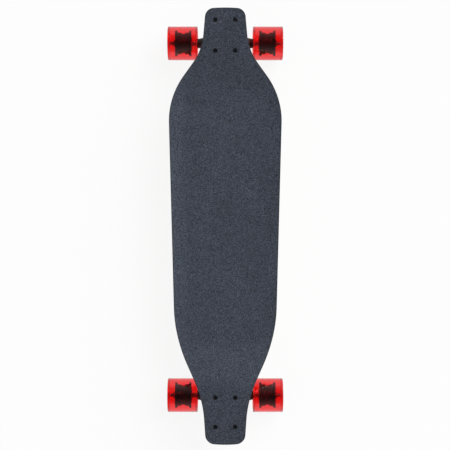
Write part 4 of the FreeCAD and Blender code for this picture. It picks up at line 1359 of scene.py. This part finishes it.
class LONGBOARD_OT_stage(bpy.types.Operator):
    """Lays the pale floor, sets soft light and looks straight down on the board"""

    bl_idname = "longboard.stage"
    bl_label = "Stage"

    def floor(self):
        """A pale sheet that shows almost white, with a faint shadow."""
        shape = bmesh.new()
        bmesh.ops.create_grid(shape, x_segments=8, y_segments=8, size=FLOOR_HALF)
        made = new_object("floor", new_mesh("floor", shape))
        paper = bpy.data.materials.new("pale_paper")
        tree = bare_tree(paper)
        pale = given("colours").floor
        where = add(tree, "ShaderNodeTexCoord").outputs["Object"]
        fibre = add(tree, "ShaderNodeTexNoise", {"Vector": where, "Scale": per_mm(2), "Detail": 3})
        tone = add(tree, "ShaderNodeValToRGB", {"Fac": fibre}, [(LOW, dimmed(pale, 0.985)), (HIGH, pale)])
        rays = add(tree, "ShaderNodeLightPath").outputs
        direct = {0: rays["Is Camera Ray"], 1: rays["Is Glossy Ray"]}
        direct = add(tree, "ShaderNodeMath", direct, operation="MAXIMUM")
        share = add(tree, "ShaderNodeMath", {0: direct, 1: FLOOR_GLOW}, operation="MULTIPLY")
        share = add(tree, "ShaderNodeMath", {0: share, 1: rays["Is Transmission Ray"]}, operation="MAXIMUM")
        lit = add(tree, "ShaderNodeBsdfDiffuse", {"Color": tone})
        glow = add(tree, "ShaderNodeEmission", {"Color": tone, "Strength": 1.0})
        shown = add(tree, "ShaderNodeMixShader", {0: share, 1: lit, 2: glow})
        add(tree, "ShaderNodeOutputMaterial", {"Surface": shown})
        made.data.materials.append(paper)

    def light(self):
        """A white surround that is darker overhead, and a low, broad lamp from the nose's right."""
        world = bpy.data.worlds.new("studio")
        bpy.context.scene.world = world
        tree = bare_tree(world)
        where = add(tree, "ShaderNodeTexCoord").outputs["Generated"]
        height = add(tree, "ShaderNodeSeparateXYZ", {0: where}).outputs["Z"]
        light = add(tree, "ShaderNodeMapRange", {0: height, 3: SKY_RIM, 4: SKY_TOP})
        # Mirrors and glass see a whiter rim than the one that lights the board
        mirror = add(tree, "ShaderNodeMapRange", {0: height, 3: 1.0, 4: SKY_TOP})
        rays = add(tree, "ShaderNodeLightPath").outputs
        clear = {0: rays["Is Glossy Ray"], 1: rays["Is Transmission Ray"]}
        clear = add(tree, "ShaderNodeMath", clear, operation="MAXIMUM")
        mirror = add(tree, "ShaderNodeMath", {0: mirror, 1: clear}, operation="MULTIPLY")
        shown = add(tree, "ShaderNodeMath", {0: mirror, 1: rays["Is Camera Ray"]}, operation="MAXIMUM")
        strength = add(tree, "ShaderNodeMath", {0: light, 1: shown}, operation="MAXIMUM")
        sky = add(tree, "ShaderNodeBackground", {"Color": (1, 1, 1, 1), "Strength": strength})
        add(tree, "ShaderNodeOutputWorld", {"Surface": sky})
        lamp = bpy.data.lights.new("broad_lamp", "SUN")
        lamp.energy = LAMP_STRENGTH
        lamp.angle = LAMP_BREADTH
        new_object("broad_lamp", lamp).rotation_euler = LAMP_TOWARDS.to_track_quat("Z", "Y").to_euler()

    def camera(self):
        """A long lens straight above the board, nose at the top of the picture."""
        lens = bpy.data.cameras.new("camera")
        lens.sensor_width = SENSOR_MM
        lens.lens = LENS_MM
        made = new_object("camera", lens)
        made.location = CAMERA_PLACE
        bpy.context.scene.camera = made

    def execute(self, context):
        self.floor()
        self.light()
        self.camera()
        bpy.context.scene.view_settings.view_transform = "Standard"
        return {"FINISHED"}


OPERATORS = (
    LONGBOARD_OT_deck, LONGBOARD_OT_grip, LONGBOARD_OT_truck_bolts, LONGBOARD_OT_castings, LONGBOARD_OT_pads,
    LONGBOARD_OT_kingpins, LONGBOARD_OT_axles, LONGBOARD_OT_bearings, LONGBOARD_OT_wheels, LONGBOARD_OT_stage,
)
GROUPS = {
    "longboard_deck": DeckSizes,
    "longboard_hardware": HardwareSizes,
    "longboard_wheels": WheelSizes,
    "longboard_colours": FinishColours,
}


class LONGBOARD_PT_finish(bpy.types.Panel):
    """The pieces of the board and the sizes and colours that they are made from"""

    bl_idname = "LONGBOARD_PT_finish"
    bl_label = "Longboard"
    bl_space_type = "VIEW_3D"
    bl_region_type = "UI"
    bl_category = "Longboard"

    def draw(self, context):
        for operator in OPERATORS:
            self.layout.operator(operator.bl_idname)
        for name, group in GROUPS.items():
            box = self.layout.box()
            for field in group.__annotations__:
                box.prop(getattr(context.scene, name), field)


def register():
    """Adds the board's settings, operators and panel to Blender."""
    for name, group in GROUPS.items():
        bpy.utils.register_class(group)
        setattr(bpy.types.Scene, name, PointerProperty(type=group))
    for operator in OPERATORS:
        bpy.utils.register_class(operator)
    bpy.utils.register_class(LONGBOARD_PT_finish)


def unregister():
    """Takes them out again."""
    bpy.utils.unregister_class(LONGBOARD_PT_finish)
    for operator in reversed(OPERATORS):
        bpy.utils.unregister_class(operator)
    for name, group in reversed(GROUPS.items()):
        delattr(bpy.types.Scene, name)
        bpy.utils.unregister_class(group)


def main():
    """Makes every piece and the stage."""
    register()
    for operator in OPERATORS:
        group, name = operator.bl_idname.split(".")
        getattr(getattr(bpy.ops, group), name)()


if __name__ == "__main__":
    main()
